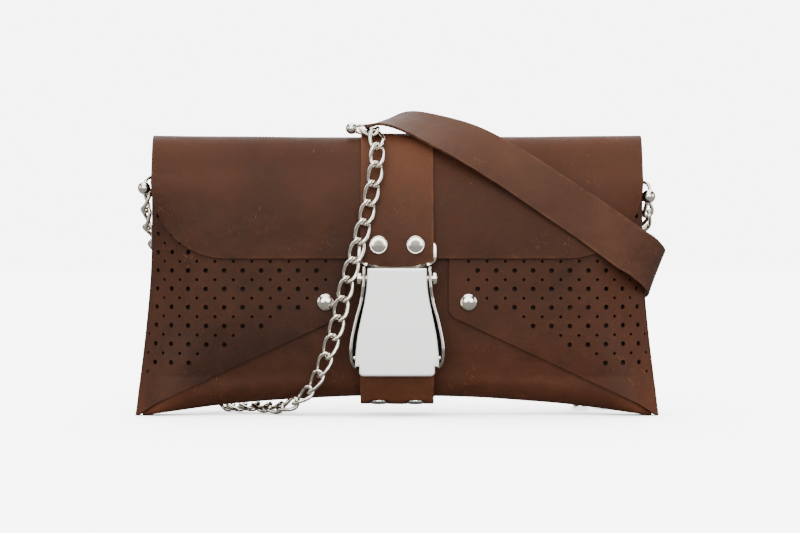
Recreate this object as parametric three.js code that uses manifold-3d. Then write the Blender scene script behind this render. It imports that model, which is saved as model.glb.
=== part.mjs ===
// A foldover leather clutch bag, closed by a lift-lever belt buckle, with a chain shoulder strap.
// Millimetres. The front faces -Y, +X is to the right, +Z is up and the bag stands on z = 0.
import * as THREE from "three";
import { mergeVertices } from "three/addons/utils/BufferGeometryUtils.js";
import Module from "manifold-3d";

const wasm = await Module();
wasm.setup();

const { PI, sin, cos, abs, sqrt, hypot, sign, min, max } = Math;
const vec = (x, y, z) => new THREE.Vector3(x, y, z);
const lerp = THREE.MathUtils.lerp;
const smooth = THREE.MathUtils.smoothstep;

// ---- driving sizes ----
const LEATHER = 2; // thickness of every panel and band
const GAP = 0.4; // between pieces that touch
const WING_LIFT = 2.8; // outer face of a wing outside the front panel's outer face
const FLAP_LIFT = 5.6; // outer face of the flap outside the front panel's outer face
const BAND_HALF = 25; // half of the 50 mm band
const BODY_TOP = 165; // where the back panel ends and the flap begins
const FLAP_TOP = 192.2; // outer crest of the flap's fold, in the middle
const FLAP_PEAK = 1.2; // and how much higher it is at its ends
const FLAP_EDGE = 107.9; // lower edge of the flap
const FLAP_HALF = 168.6;
const FLAP_CORNER = 52; // radius of the flap's lower corners
const WING_TOP = 158.5;
const WING_INNER = 35.4; // inner edge of a wing from the middle
const HOLE_PITCH = 12.6; // perforations repeat at this pitch both ways
const PIN = { y: -35, z: 94.2, radius: 2 }; // the lever's hinge pin, along X
const PLATE_FRONT = -38.4; // front face of the lever's cover plate
const BAR = { y: -30, z: 40, radius: 2.25 }; // the bar that the lower band turns round
const WIRE = 1.08; // half the diagonal of the chain's faceted wire

// ---- the pillow that the leather is wrapped round ----
const MID_DEPTH = 19.7; // half depth of the front panel at its fullest, at z = 85
const FOOT_DEPTH = 14.5; // half depth and radius of the bottom fold
const SIDE_RADIUS = 62.2; // the faces curve back towards the sides at this radius
const SIDE_TURN = 0.768; // and by this angle, in radians
const FOLD_RADIUS = 3.2; // before the tight side fold
const FOLD_START = SIDE_RADIUS * SIDE_TURN;
const FOLD_END = FOLD_START + FOLD_RADIUS * (PI / 2 - SIDE_TURN);
const SIDE_RUN = (SIDE_RADIUS - FOLD_RADIUS) * sin(SIDE_TURN) + FOLD_RADIUS;
const SIDE_BACK = SIDE_RADIUS - (SIDE_RADIUS - FOLD_RADIUS) * cos(SIDE_TURN);

const halfWidth = (z) => 167.1 + 9.9 * (max(0, 130 - z) / 130) ** 1.7;
const flatHalf = (z) => halfWidth(z) - SIDE_RUN;
const bottomHeight = (x) => 12.8 * max(0, 1 - (x / 172) ** 2);

function panelDepth(z) {
  if (z > 85) return MID_DEPTH - 7 * ((z - 85) / 80) ** 4;
  return MID_DEPTH - (MID_DEPTH - FOOT_DEPTH) * min(1, (85 - z) / 58) ** 2.5;
}

// How far out a place lies beyond the flat face, and what share of the depth is left there.
function sideCurve(run) {
  if (run <= 0) return { out: run, keep: 1 };
  const turn = min(run / SIDE_RADIUS, SIDE_TURN);
  if (run <= FOLD_START) {
    return { out: SIDE_RADIUS * sin(turn), keep: 1 - (SIDE_RADIUS * (1 - cos(turn))) / SIDE_BACK };
  }
  const fold = SIDE_TURN + (run - FOLD_START) / FOLD_RADIUS;
  return {
    out: SIDE_RUN - FOLD_RADIUS * (1 - sin(fold)),
    keep: max(0, (FOLD_RADIUS * cos(fold)) / SIDE_BACK),
  };
}

const CORNER_LEAN = 14; // the lower corners are drawn this far forward, under the weight of the buckle
const leanAt = (x, z) => CORNER_LEAN * smooth(100 - z, 0, 100) * smooth(abs(x), 116, 170);

// Half the bag's depth at a place `along` mm round from the middle line and at height z. The sides are
// sharp half way up, fuller at the top and fullest at the feet.
function pillowDepth(along, z) {
  const { keep } = sideCurve(abs(along) - flatHalf(z));
  const fullness = 1 - 0.4 * smooth(z, 100, BODY_TOP) - 0.37 * smooth(72 - z, 0, 64);
  return panelDepth(z) * keep ** fullness;
}

// The place itself; side is -1 in front, 1 behind.
function pillow(along, z, side) {
  const flat = flatHalf(z);
  const x = sign(along) * (flat + sideCurve(abs(along) - flat).out);
  return vec(x, side * pillowDepth(along, z) - leanAt(x, z), z);
}

// ---- solids ----
const toSolid = (geometry) => {
  const bare = new THREE.BufferGeometry().setAttribute("position", geometry.getAttribute("position"));
  if (geometry.index) bare.setIndex(geometry.index);
  const merged = mergeVertices(bare, 1e-4);
  return new wasm.Manifold(
    new wasm.Mesh({
      numProp: 3,
      vertProperties: new Float32Array(merged.getAttribute("position").array),
      triVerts: new Uint32Array(merged.index.array),
    }),
  );
};

const toGeometry = (solid) => {
  const mesh = solid.getMesh();
  const geometry = new THREE.BufferGeometry();
  geometry.setAttribute("position", new THREE.BufferAttribute(mesh.vertProperties, 3));
  geometry.setIndex(new THREE.BufferAttribute(mesh.triVerts, 1));
  return geometry;
};

const join = (...geometries) => toGeometry(geometries.map(toSolid).reduce((a, b) => a.add(b)));
const cut = (geometry, ...tools) =>
  toGeometry(tools.map(toSolid).reduce((a, b) => a.subtract(b), toSolid(geometry)));
const trim = (geometry, tool) => toGeometry(toSolid(geometry).intersect(toSolid(tool)));

const box = (x0, x1, y0, y1, z0, z1) =>
  new THREE.BoxGeometry(x1 - x0, y1 - y0, z1 - z0).translate((x0 + x1) / 2, (y0 + y1) / 2, (z0 + z1) / 2);
const rod = (from, to, radius, sides) => {
  const axis = to.clone().sub(from);
  const turn = new THREE.Quaternion().setFromUnitVectors(vec(0, 1, 0), axis.clone().normalize());
  return new THREE.CylinderGeometry(radius, radius, axis.length(), sides)
    .applyQuaternion(turn)
    .translate(...from.clone().add(to).multiplyScalar(0.5).toArray());
};

// An outline drawn in X and Z, given thickness from y0 (front) to y1.
function slab(shape, y0, y1, holes = []) {
  shape.holes.push(...holes);
  return new THREE.ExtrudeGeometry(shape, { depth: y1 - y0, bevelEnabled: false, curveSegments: 3 })
    .rotateX(PI / 2)
    .translate(0, y1, 0);
}

// An outline drawn in Y and Z, given width from x0 to x1.
const sideSlab = (shape, x0, x1, curveSegments = 3) =>
  new THREE.ExtrudeGeometry(shape, { depth: x1 - x0, bevelEnabled: false, curveSegments })
    .applyMatrix4(new THREE.Matrix4().makeBasis(vec(0, 1, 0), vec(0, 0, 1), vec(1, 0, 0)))
    .translate(x0, 0, 0);

// A sheet of leather: at(c, r) gives the face it lies on, lift(r) how far its outer face is outside that.
function sheet(columns, rows, at, lift) {
  const step = 1e-3;
  const points = [];
  for (const r of rows) {
    for (const c of columns) {
      const across = at(c + step, r).sub(at(c - step, r));
      const down = at(c, r + step).sub(at(c, r - step));
      const normal = across.cross(down).normalize();
      const here = at(c, r);
      points.push(here.clone().addScaledVector(normal, lift(r)));
      points.push(here.clone().addScaledVector(normal, lift(r) - LEATHER));
    }
  }
  const wide = columns.length;
  const outer = (i, j) => 2 * (j * wide + i);
  const inner = (i, j) => outer(i, j) + 1;
  const faces = [];
  const quad = (a, b, c, d) => faces.push(a, b, c, a, c, d);
  for (let j = 0; j + 1 < rows.length; j++) {
    for (let i = 0; i + 1 < wide; i++) {
      const skin = [outer(i, j), outer(i + 1, j), outer(i + 1, j + 1), outer(i, j + 1)];
      const flesh = [inner(i, j), inner(i, j + 1), inner(i + 1, j + 1), inner(i + 1, j)];
      const left = columns[0] < 0 && columns[i] + columns[i + 1] > 0;
      if (left) skin.push(skin.shift());
      if (left) flesh.push(flesh.shift());
      quad(...skin);
      quad(...flesh);
    }
    quad(outer(0, j), outer(0, j + 1), inner(0, j + 1), inner(0, j));
    quad(outer(wide - 1, j), inner(wide - 1, j), inner(wide - 1, j + 1), outer(wide - 1, j + 1));
  }
  const last = rows.length - 1;
  for (let i = 0; i + 1 < wide; i++) {
    quad(outer(i, 0), inner(i, 0), inner(i + 1, 0), outer(i + 1, 0));
    quad(outer(i, last), outer(i + 1, last), inner(i + 1, last), inner(i, last));
  }
  const geometry = new THREE.BufferGeometry().setFromPoints(points);
  geometry.setIndex(faces);
  return geometry;
}

// A band seen edge-on: a curve in Y and Z that is the middle of its thickness, given width along X.
function bandAlong(path, half) {
  const offset = (k, d) => {
    const before = path[max(0, k - 1)];
    const after = path[min(path.length - 1, k + 1)];
    const length = hypot(after[0] - before[0], after[1] - before[1]);
    const [y, z] = path[k];
    const along = [(after[0] - before[0]) / length, (after[1] - before[1]) / length];
    return new THREE.Vector2(y - d * along[1], z + d * along[0]);
  };
  const left = path.map((_, k) => offset(k, LEATHER / 2));
  const right = path.map((_, k) => offset(k, -LEATHER / 2));
  return sideSlab(new THREE.Shape([...left, ...right.reverse()]), -half, half);
}

const mirrored = (values) => [...values.map((v) => -v).reverse(), ...values.slice(values[0] === 0 ? 1 : 0)];
const steps = (from, to, count) => Array.from({ length: count + 1 }, (_, k) => lerp(from, to, k / count));

// ---- leather panels ----
const FRONT_TOP = 162; // upper edge of the front panel, under the flap
const BASE_DROP = 0.9; // how far the bottom's outer face lies below the front panel's
const FOOT_TRIM = 0.3; // the leather is worn flat where its corners stand
const FOOT_SQUARE = 0.25; // the round fold is pressed this square where the corners stand; 1 leaves it round
const LOW_SAMPLE = 20; // height at which a column's share of the bottom fold is read

// r runs 0 to 1 down the front, 1 to 2 round the bottom fold and 2 to 3 up the back.
function panelFace(c, r) {
  const side = r < 1.5 ? -1 : 1;
  const wide = smooth(r, 2, 2.06);
  const along = (z) => -c * (flatHalf(z) + lerp(FOLD_START - 2, FOLD_END - GAP / 2, wide));
  const lowX = abs(pillow(along(LOW_SAMPLE), LOW_SAMPLE, side).x);
  const radius = (FOOT_DEPTH * pillowDepth(along(LOW_SAMPLE), LOW_SAMPLE)) / panelDepth(LOW_SAMPLE);
  const centre = bottomHeight(lowX) + radius + BASE_DROP;
  if (r <= 1) {
    const z = lerp(FRONT_TOP, centre, r);
    return pillow(along(z), z, side);
  }
  if (r >= 2) {
    const z = lerp(centre, BODY_TOP - 3 * GAP, r - 2);
    return pillow(along(z), z, side);
  }
  const turn = (r - 1) * PI;
  const square = lerp(1, FOOT_SQUARE, smooth(lowX, 140, 168));
  const z = centre - radius * sin(turn) ** square;
  const x = pillow(along(z), z, side).x;
  return vec(x, -radius * sign(cos(turn)) * abs(cos(turn)) ** square - leanAt(x, z), z);
}

function makeBodyPanel(rings) {
  const columns = mirrored([0, 0.72, 0.815, 0.925, 0.989, 0.993, 1]);
  const rows = [0, 0.48, 0.69, 0.77, 0.87, 1, 1.15, 1.3, 1.5, 1.7, 1.85, 2, 2.06, 2.25, 2.6, 3];
  const panel = sheet(columns, rows, panelFace, (r) => WING_LIFT * smooth(r, 1.2, 2));
  const floor = box(-200, 200, -40, 40, -5, FOOT_TRIM);
  const notches = [-1, 1].map((side) => box(side * 168.5 - 8, side * 168.5 + 8, -5, 40, WING_TOP, 180));
  return cut(panel, floor, ...notches, ...rings);
}

const WING_SLOPE = 0.4657; // fall of a wing's lower edge towards the corner
const WING_SPRING = 0.63; // how far a wing springs off the front panel on its way to the side
const WING_CORNER = { x: 43.4, z: 74.2, radius: 8 };

function wingLowEdge(x) {
  if (x > 40) return 66.6 - WING_SLOPE * (x - 40.8);
  return WING_CORNER.z - sqrt(max(0, WING_CORNER.radius ** 2 - (WING_CORNER.x - x) ** 2));
}

// c runs 0 at the side fold to 1 at the inner edge, r 0 at the top to 1 at the lower edge.
function wingFace(c, r) {
  const along = (z) => lerp(flatHalf(z) + FOLD_END - GAP / 2, WING_INNER, c);
  const z = lerp(WING_TOP, wingLowEdge(pillow(along(LOW_SAMPLE), LOW_SAMPLE, -1).x), r);
  const place = pillow(along(z), z, -1);
  return place.setY(place.y - WING_SPRING * smooth(place.x, 90, 140));
}

const STUD = { x: 48.9, z: 78.1, radius: 6.1 };
const BIG_HOLE = 1.9;

// Big holes on a square lattice; each row stops short of the slanted edge, the stud and the flap.
function wingHoles() {
  const places = [];
  for (let column = 0; column < 10; column++) {
    for (let row = -4; row <= 3; row++) {
      const along = 55.1 + HOLE_PITCH * column;
      const z = 87 + HOLE_PITCH * row;
      const flat = flatHalf(z);
      const run = max(0, along - flat) * (SIDE_RADIUS / (SIDE_RADIUS + WING_LIFT));
      const at = min(along, flat) + run;
      const x = pillow(at, z, -1).x;
      const aboveEdge = (z - wingLowEdge(x)) * cos(Math.atan(WING_SLOPE));
      const flapX = min(FLAP_HALF, x) - (FLAP_HALF - FLAP_CORNER);
      const flapZ = FLAP_EDGE + FLAP_CORNER - z;
      const inCorner = flapZ < 0 || hypot(flapX, flapZ) < FLAP_CORNER + 1;
      const underFlap = flapX > 0 ? inCorner : z > FLAP_EDGE - 2;
      const nearStud = hypot(x - STUD.x, z - STUD.z) < 9;
      if (aboveEdge > 15.6 && !underFlap && !nearStud) places.push([at, z]);
    }
  }
  return places;
}

function makeWing(side, ring) {
  const columns = [0, 0.0095, 0.019, 0.128, 0.258, 0.387, 0.963, 0.98, 1];
  const wing = sheet(columns, steps(0, 1, 5), wingFace, () => WING_LIFT + 0.05);
  const drills = wingHoles().map(([along, z]) => {
    const face = pillow(along, z, -1);
    const across = pillow(along + 0.5, z, -1).sub(pillow(along - 0.5, z, -1));
    const outward = vec(across.y, -across.x, 0).normalize();
    return rod(face, face.clone().addScaledVector(outward, 5), BIG_HOLE, 5);
  });
  const pierced = cut(wing, ...drills);
  if (side < 0) {
    pierced.scale(-1, 1, 1);
    pierced.index.array.reverse();
  }
  return cut(pierced, ring);
}

const setBack = (x) => {
  const run = max(0, abs(x) - flatHalf(BODY_TOP));
  return SIDE_RADIUS - sqrt(SIDE_RADIUS ** 2 - run ** 2);
};
const FLAP_FRONT = panelDepth(BODY_TOP) + FLAP_LIFT;
const FLAP_RISE = FLAP_TOP - BODY_TOP;

// r runs 0 to 1 up the back of the fold, 1 to 2 down its front and 2 to 3 down the face.
function flapFace(c, r) {
  const x = -c * FLAP_HALF;
  const rise = FLAP_RISE + FLAP_PEAK * c * c;
  if (r < 1) {
    const left = max(0.2, 1 - setBack(x) / SIDE_BACK);
    const back = max(9.5, panelDepth(BODY_TOP) * left ** 0.6 + WING_LIFT);
    return vec(x, back * cos((r * PI) / 2), BODY_TOP + rise * sin((r * PI) / 2));
  }
  if (r < 2) {
    const turn = ((r - 1) * PI) / 2;
    return vec(x, -FLAP_FRONT * sin(turn), BODY_TOP + rise * cos(turn));
  }
  const z = lerp(BODY_TOP, FLAP_EDGE, r - 2);
  const curve = 0.45 * setBack(x) * smooth(BODY_TOP - z, 0, 40);
  return vec(x, -(panelDepth(z) + FLAP_LIFT - curve), z);
}

function makeFlap() {
  const columns = mirrored([0, 0.72, 0.82, 0.91, 1]);
  const rows = [0, 0.3, 0.6, 0.8, 1, 1.2, 1.45, 1.75, 2, 2.2, 2.5, 3];
  const corner = (side) => {
    const middle = FLAP_HALF - FLAP_CORNER;
    const outline = new THREE.Shape()
      .moveTo(middle, FLAP_EDGE - 8)
      .lineTo(FLAP_HALF + 8, FLAP_EDGE - 8)
      .lineTo(FLAP_HALF + 8, FLAP_EDGE + FLAP_CORNER)
      .lineTo(FLAP_HALF, FLAP_EDGE + FLAP_CORNER)
      .absarc(middle, FLAP_EDGE + FLAP_CORNER, FLAP_CORNER, 0, -PI / 2, true);
    const tool = new THREE.ExtrudeGeometry(outline, { depth: 40, bevelEnabled: false, curveSegments: 8 })
      .rotateX(PI / 2);
    if (side < 0) tool.rotateZ(PI).translate(0, -40, 0);
    return tool;
  };
  return cut(sheet(columns, rows, flapFace, () => 0), corner(1), corner(-1));
}

// ---- bands ----
const TONGUE = { back: -25.65, front: -27.25, top: 119.5 };
const bandGap = (z) => lerp(GAP + 2.1, GAP, smooth(z, 121, 150)); // it stands off the flap over the tongue
const bandFaceAt = (z) => -(panelDepth(z) + FLAP_LIFT + bandGap(z) + LEATHER);
const backFaceAt = (z) => panelDepth(z) + WING_LIFT;
const arcPoints = (y, z, rise, from, to, count) =>
  steps(from, to, count).map((turn) => [y * cos(turn), z + rise * sin(turn)]);

function makeFlapBand() {
  const low = 102.1;
  const front = [low, 112, 121, 130, 140, 150].map((z) => [bandFaceAt(z) + LEATHER / 2, z]);
  const over = GAP + LEATHER / 2;
  const crest = arcPoints(-(FLAP_FRONT + over), BODY_TOP, FLAP_RISE + over, 0, PI / 2, 6);
  const rear = arcPoints(backFaceAt(BODY_TOP) + over, BODY_TOP, FLAP_RISE + over, PI / 2, 0, 6).slice(1);
  const down = [140, 115, 86].map((z) => [backFaceAt(z) + over, z]);
  const band = bandAlong([...front, ...crest, ...rear, ...down], BAND_HALF);
  const edge = steps(-1.1, 1.1, 8).map((c) => new THREE.Vector2(c * BAND_HALF, low + 3.7 * c * c));
  const below = new THREE.Shape([new THREE.Vector2(-30, 95), ...edge, new THREE.Vector2(30, 95)]);
  return cut(band, slab(below, -45, -20));
}

const UNDER = { front: 15.9, back: 19.2, z: 28.2, rise: 19.2 }; // the band's sweep under the bag
const UNDER_SQUARE = 0.75; // its front half is this square; 1 would leave it round
const RIVET_TURN = 0.42 * PI; // how far round the sweep its rivets are
const RIVET_SUNK = 1.1; // and how deep they are pressed into it

// A place on the sweep's front half, `out` mm outside the middle of the band.
function underPoint(turn, out = 0) {
  const y = -(UNDER.front + out) * cos(turn) ** UNDER_SQUARE;
  return [y, UNDER.z - (UNDER.rise + out) * sin(turn) ** UNDER_SQUARE];
}

const underFace = underPoint(RIVET_TURN, LEATHER / 2);
const underNext = underPoint(RIVET_TURN + 0.01, LEATHER / 2);
const UNDER_OUT = vec(0, underNext[1] - underFace[1], underFace[0] - underNext[0]).normalize();
const underRivet = (x) => vec(x, underFace[0], underFace[1]).addScaledVector(UNDER_OUT, -RIVET_SUNK);

function makeBaseBand() {
  const wrap = BAR.radius + GAP + LEATHER / 2;
  const tail = [[BAR.y - wrap, 30.5], [BAR.y - wrap, 36]];
  const overBar = arcPoints(-wrap, BAR.z, wrap, 0, PI, 6).map(([y, z]) => [BAR.y + y, z]);
  const drop = [[BAR.y + wrap, 33], [BAR.y + wrap + 1.4, 27.5], [BAR.y + wrap + 5.2, 21.8]];
  const sweep = [
    ...steps(PI * 0.24, PI / 2, 4).map((turn) => underPoint(turn)),
    ...arcPoints(-UNDER.back, UNDER.z, -UNDER.rise, PI / 2, PI, 6).slice(1),
  ];
  const over = GAP + LEATHER / 2;
  const up = [34, 45, 60, 74].map((z) => [backFaceAt(z) + over, z]);
  const lapped = (z) => (z > 80 ? LEATHER + GAP : 1.6);
  const lap = [80, 84, 95, 107].map((z) => [backFaceAt(z) + over + lapped(z), z]);
  const band = bandAlong([...tail, ...overBar, ...drop, ...sweep, ...up, ...lap], BAND_HALF - 0.3);
  const dents = [-RIVET_X, RIVET_X].map((x) => {
    const seat = underRivet(x);
    return rod(seat, seat.clone().addScaledVector(UNDER_OUT, 6), 6.7, 10);
  });
  return cut(band, ...dents);
}

// ---- rivets ----
// A turned cap of the given profile, its flat back resting just off `face` and facing `outward`.
function makeCap(profile, face, outward) {
  const points = profile.map(([radius, height]) => new THREE.Vector2(radius, height));
  const turn = new THREE.Quaternion().setFromUnitVectors(vec(0, 1, 0), outward.clone().normalize());
  const seat = face.clone().addScaledVector(outward.clone().normalize(), GAP - 0.1);
  return new THREE.LatheGeometry(points, 8).applyQuaternion(turn).translate(...seat.toArray());
}
const FLAT_CAP = [[0, 0], [6.25, 0], [6.25, 0.7], [5.5, 1.4], [0, 1.6]];
const DOME_CAP = [[0, 0], [6.1, 0], [5.9, 1.1], [4.2, 2.5], [0, 3.2]];
const RIVET_X = 12.6;

// ---- buckle ----
// Rows of height and half width make an outline that is the same on both sides.
const doubled = (rows) => [
  ...rows.map(([z, half]) => new THREE.Vector2(half, z)),
  ...[...rows].reverse().map(([z, half]) => new THREE.Vector2(-half, z)),
];

function makeTongue() {
  const rows = [
    [TONGUE.top, 24], [117.7, 26.6], [114, 27], [107, 27], [104.3, 24.6], [102.4, 20.4], [99, 19],
    [74, 19], [70, 14],
  ];
  const corners = [[-9.6, 83.4], [9.6, 83.4], [9.6, 90.6], [-9.6, 90.6]];
  const window = new THREE.Path(corners.map((p) => new THREE.Vector2(...p)));
  return slab(new THREE.Shape(doubled(rows)), TONGUE.front, TONGUE.back, [window]);
}

const CHEEK = 2.2;
const HOUSING_ROWS = [
  [33.4, 29], [36, 31], [42, 32.3], [51, 31.9], [60, 30.2], [68.5, 28.2],
  [77, 25.8], [85.6, 24.3], [94, 23.4], [102.3, 23.4],
];
const HOUSING = { back: -23.2, floor: -24.9, front: -38.9 };

function makeHousing() {
  const plate = slab(new THREE.Shape(doubled(HOUSING_ROWS)), HOUSING.floor, HOUSING.back);
  const cheeks = [-1, 1].map((side) => {
    const outer = HOUSING_ROWS.map(([z, half]) => new THREE.Vector2(side * half, z));
    const inner = HOUSING_ROWS.map(([z, half]) => new THREE.Vector2(side * (half - CHEEK), z)).reverse();
    return slab(new THREE.Shape([...outer, ...inner]), HOUSING.front, HOUSING.back);
  });
  const profile = [
    [-22, 30], [-22, 104], [-36, 104], [-38.9, 98.5], [-38.9, 89],
    [-37.4, 81], [-37.4, 46], [-34.5, 38.5], [-30.5, 30],
  ].map((p) => new THREE.Vector2(...p));
  const body = trim(join(plate, ...cheeks), sideSlab(new THREE.Shape(profile), -40, 40));
  const bore = ({ y, z, radius }) => rod(vec(-40, y, z), vec(40, y, z), radius + 0.4, 8);
  return cut(body, bore(PIN), bore(BAR));
}

function makePin() {
  const at = (x) => vec(x, PIN.y, PIN.z);
  const heads = [-1, 1].map((side) => rod(at(side * 24.3), at(side * 27.1), 4.5, 10));
  return join(rod(at(-25), at(25), PIN.radius, 10), ...heads);
}

function makeLever() {
  const rows = [
    [101.2, 19], [99.5, 20], [94, 20.1], [85.6, 20.9], [77, 22.2], [72, 23.3],
    [60, 26], [47, 27.8], [38, 28.3], [34.6, 28.5], [34.6, 25.6], [30.6, 25.6], [28.1, 23],
  ];
  const plate = slab(new THREE.Shape(doubled(rows)), PLATE_FRONT, PLATE_FRONT + 1.8);
  const ear = [
    [-37, 99.5], [-34.5, 98.2], [-31.8, 96.6], [-30.9, 94.2], [-31.8, 91.8], [-34.5, 88.5], [-37, 86],
  ].map((p) => new THREE.Vector2(...p));
  const ears = [-1, 1].map((side) => sideSlab(new THREE.Shape(ear), side * 16.5 - 1.5, side * 16.5 + 1.5));
  const lip = box(-9, 9, -37, -26.3, 87, 89);
  const bore = rod(vec(-22, PIN.y, PIN.z), vec(22, PIN.y, PIN.z), PIN.radius + 0.25, 10);
  return cut(join(plate, ...ears, lip), bore);
}

// ---- shoulder strap ----
// Across the strap at each place: its upper or back edge, then its lower or front edge.
const STRAP_RUNGS = [
  [-22.5, 14, 199.1, -22.5, -17.5, 198.9],
  [-7, 15, 204.8, -10, -15, 200],
  [8, 12.5, 210.3, 4, -16, 195.5],
  [27, 2, 207.5, 22, -22, 186],
  [56, -12, 198.4, 41.3, -27, 174.9],
  [85, -20.5, 182.8, 67.3, -28, 159],
  [114, -26.5, 163.9, 96.3, -28.5, 139.3],
  [141, -27, 146.3, 122.3, -28, 121.6],
  [166.3, -25.5, 128.6, 149, -26, 102.3],
];
const STRAP_HALF = 15.75;
// It turns round the bag's side on a leaning cylinder, dropping a little as it goes.
const TURN = { radius: 24.5, out: 107.3, along: 164.9, drop: 0.25 };
const TURN_AXIS = vec(0.361, 0, 0.9326);
const TURN_OUT = vec(0.9326, 0, -0.361);

function turnPoint(angle, shift) {
  const { radius, out, along, drop } = TURN;
  const scale = STRAP_HALF / hypot(1, drop);
  const at = angle + (shift * scale * drop) / radius;
  const bent = min(max(at, 0), PI);
  const past = at - bent;
  const reach = out + radius * sin(bent) + (at < 0 ? 1 : -1) * radius * past;
  return vec(0, -radius * cos(bent), 0)
    .addScaledVector(TURN_OUT, reach)
    .addScaledVector(TURN_AXIS, along - drop * radius * angle + shift * scale);
}

function makeStrap(rings) {
  const rungs = STRAP_RUNGS.map((p) => [vec(p[0], p[1], p[2]), vec(p[3], p[4], p[5])]);
  for (const angle of steps(0.3, PI + 0.2, 9)) rungs.push([turnPoint(angle, 1), turnPoint(angle, -1)]);
  const heading = TURN_OUT.clone().multiplyScalar(-1).addScaledVector(TURN_AXIS, -TURN.drop).normalize();
  const last = rungs[rungs.length - 1];
  for (const [run, lean] of [[14, 1.5], [30, 5]]) {
    rungs.push(last.map((p) => p.clone().addScaledVector(heading, run).add(vec(0, lean, 0))));
  }
  const edgeCurve = (k) => new THREE.CatmullRomCurve3(rungs.map((r) => r[k]), false, "catmullrom");
  const [upper, lower] = [edgeCurve(0), edgeCurve(1)];
  const at = (c, r) => {
    const t = min(1, max(0, r));
    return upper.getPoint(t).lerp(lower.getPoint(t), c);
  };
  return cut(sheet([0, 1], steps(0, 1, 28), at, () => LEATHER / 2), ...rings);
}

// ---- screw-ball rings ----
// An oval ring in the plane of `wide` and `tall`, with a ball on a pin screwed into the leg that `wide`
// points to.
function makeRing({ centre, wide, tall, ball, size }, wire = 1.15, withBall = true) {
  const onOval = (turn) =>
    centre.clone().addScaledVector(wide, 4.8 * cos(turn)).addScaledVector(tall, 6.1 * sin(turn));
  const points = steps(0, 2 * PI, 12).slice(0, 12).map(onOval);
  const path = new THREE.CatmullRomCurve3(points, true);
  const ring = new THREE.TubeGeometry(path, 12, wire, 4, true);
  if (!withBall) return ring;
  const pin = rod(centre.clone().addScaledVector(wide, 4.8), ball, 1.3, 6);
  return join(ring, pin, new THREE.SphereGeometry(size, 8, 5).translate(...ball.toArray()));
}

const RINGS = {
  ring_bag_left: {
    centre: vec(-170.6, -1, 158),
    wide: vec(-0.866, -0.5, 0),
    tall: vec(0, 0, 1),
    ball: vec(-173.8, -13.5, 156.3),
    size: 4.4,
  },
  ring_bag_right: {
    centre: vec(170.6, -1, 154.7),
    wide: vec(0.866, -0.5, 0),
    tall: vec(0, 0, 1),
    ball: vec(172.8, -13.5, 150.5),
    size: 4.7,
  },
  ring_strap_left: {
    centre: vec(-24.5, -2, 197.6),
    wide: vec(-1, 0, 0),
    tall: vec(0, 0.866, 0.5),
    ball: vec(-31.5, -6.5, 197.7),
    size: 4,
  },
  ring_strap_right: {
    centre: vec(116, 30, 102),
    wide: vec(0, 1, 0),
    tall: vec(0.992, 0, -0.124),
    ball: vec(116, 42, 102),
    size: 4.4,
  },
};

// ---- chains ----
// One curb link lying along X, its ends turned 45 degrees either way; each end is free or joined to the
// next link.
const FREE_END = 8.2;
const JOINED_END = 6.9;

function makeLink(before, after) {
  const outline = [
    [after, -1.6], [after, 1.6], [5.2, 4.1], [-5.2, 4.1],
    [-before, 1.6], [-before, -1.6], [-5.2, -4.1], [5.2, -4.1],
  ];
  const turned = outline.map(([x, y]) => {
    const turn = (PI / 4) * (x / 8.05);
    return vec(x, y * cos(turn), y * sin(turn));
  });
  const count = turned.length;
  const points = [];
  turned.forEach((here, k) => {
    const back = here.clone().sub(turned[(k + count - 1) % count]).normalize();
    const on = turned[(k + 1) % count].clone().sub(here).normalize();
    const outward = back.clone().sub(on).normalize();
    const normal = back.cross(on).normalize();
    for (const [u, v] of [[1, 1], [-1, 1], [-1, -1], [1, -1]]) {
      const corner = here.clone().addScaledVector(outward, u * WIRE * 0.707);
      points.push(corner.addScaledVector(normal, v * WIRE * 0.707));
    }
  });
  const faces = [];
  for (let k = 0; k < count; k++) {
    for (let side = 0; side < 4; side++) {
      const [a, b] = [4 * k + side, 4 * k + ((side + 1) % 4)];
      const [d, c] = [4 * ((k + 1) % count) + side, 4 * ((k + 1) % count) + ((side + 1) % 4)];
      faces.push(a, c, b, a, d, c);
    }
  }
  const geometry = new THREE.BufferGeometry().setFromPoints(points);
  geometry.setIndex(faces);
  return geometry;
}

// Places along a chain, how flat it lies there (0 hanging, 1 on the ground) and where its broad side
// looks while it hangs (0 to the front, positive to the right, in radians).
const LEFT_ROUTE = [
  [-23.1, -3.5, 196.4, 0.82, 0.25],
  [-14.7, -14.5, 194.6, 0.46, 0.06],
  [-13.3, -25, 178, 0],
  [-18.8, -29.5, 145.5, 0],
  [-25.7, -33.5, 118.5, 0],
  [-34, -33.5, 91.2, 0],
  [-40.4, -31, 64, 0.1],
  [-49.7, -28.5, 36.4, 0.25, -0.35],
  [-60, -24, 17.5, 0.57, -0.7],
  [-75, -18, 5.5, 0.8, -0.7],
  [-100, 8, 4.1, 1],
  [-122, 28, 5.1, 1],
  [-139, 34, 27, 0.2],
  [-155, 33, 65, 0, -0.3],
  [-167.5, 22, 110, 0, -0.8],
  [-174.4, 6, 134, 0, -1.2],
  [-173.1, -1.3, 154.9, 0, -1.5],
];
const RIGHT_ROUTE = [
  [171.7, -2.7, 149.2, 0, 1.1],
  [174.8, 10, 134, 0, 0.8],
  [163, 30, 115, 0, 0.3],
  [163, 32, 70, 0],
  [169, 35, 27, 0.1],
  [173, 46, 7, 0.8],
  [173, 84, 3.9, 1],
  [161, 86, 3.9, 1],
  [160, 50, 3.9, 1],
  [148, 48, 3.9, 1],
  [146, 84, 3.9, 1],
  [134, 86, 3.9, 1],
  [132, 52, 6, 1],
  [128, 36, 20, 0.2],
  [114, 34, 60, 0],
  [109, 31.5, 88, 0],
  [110.3, 30, 103.5, 0],
];

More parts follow.
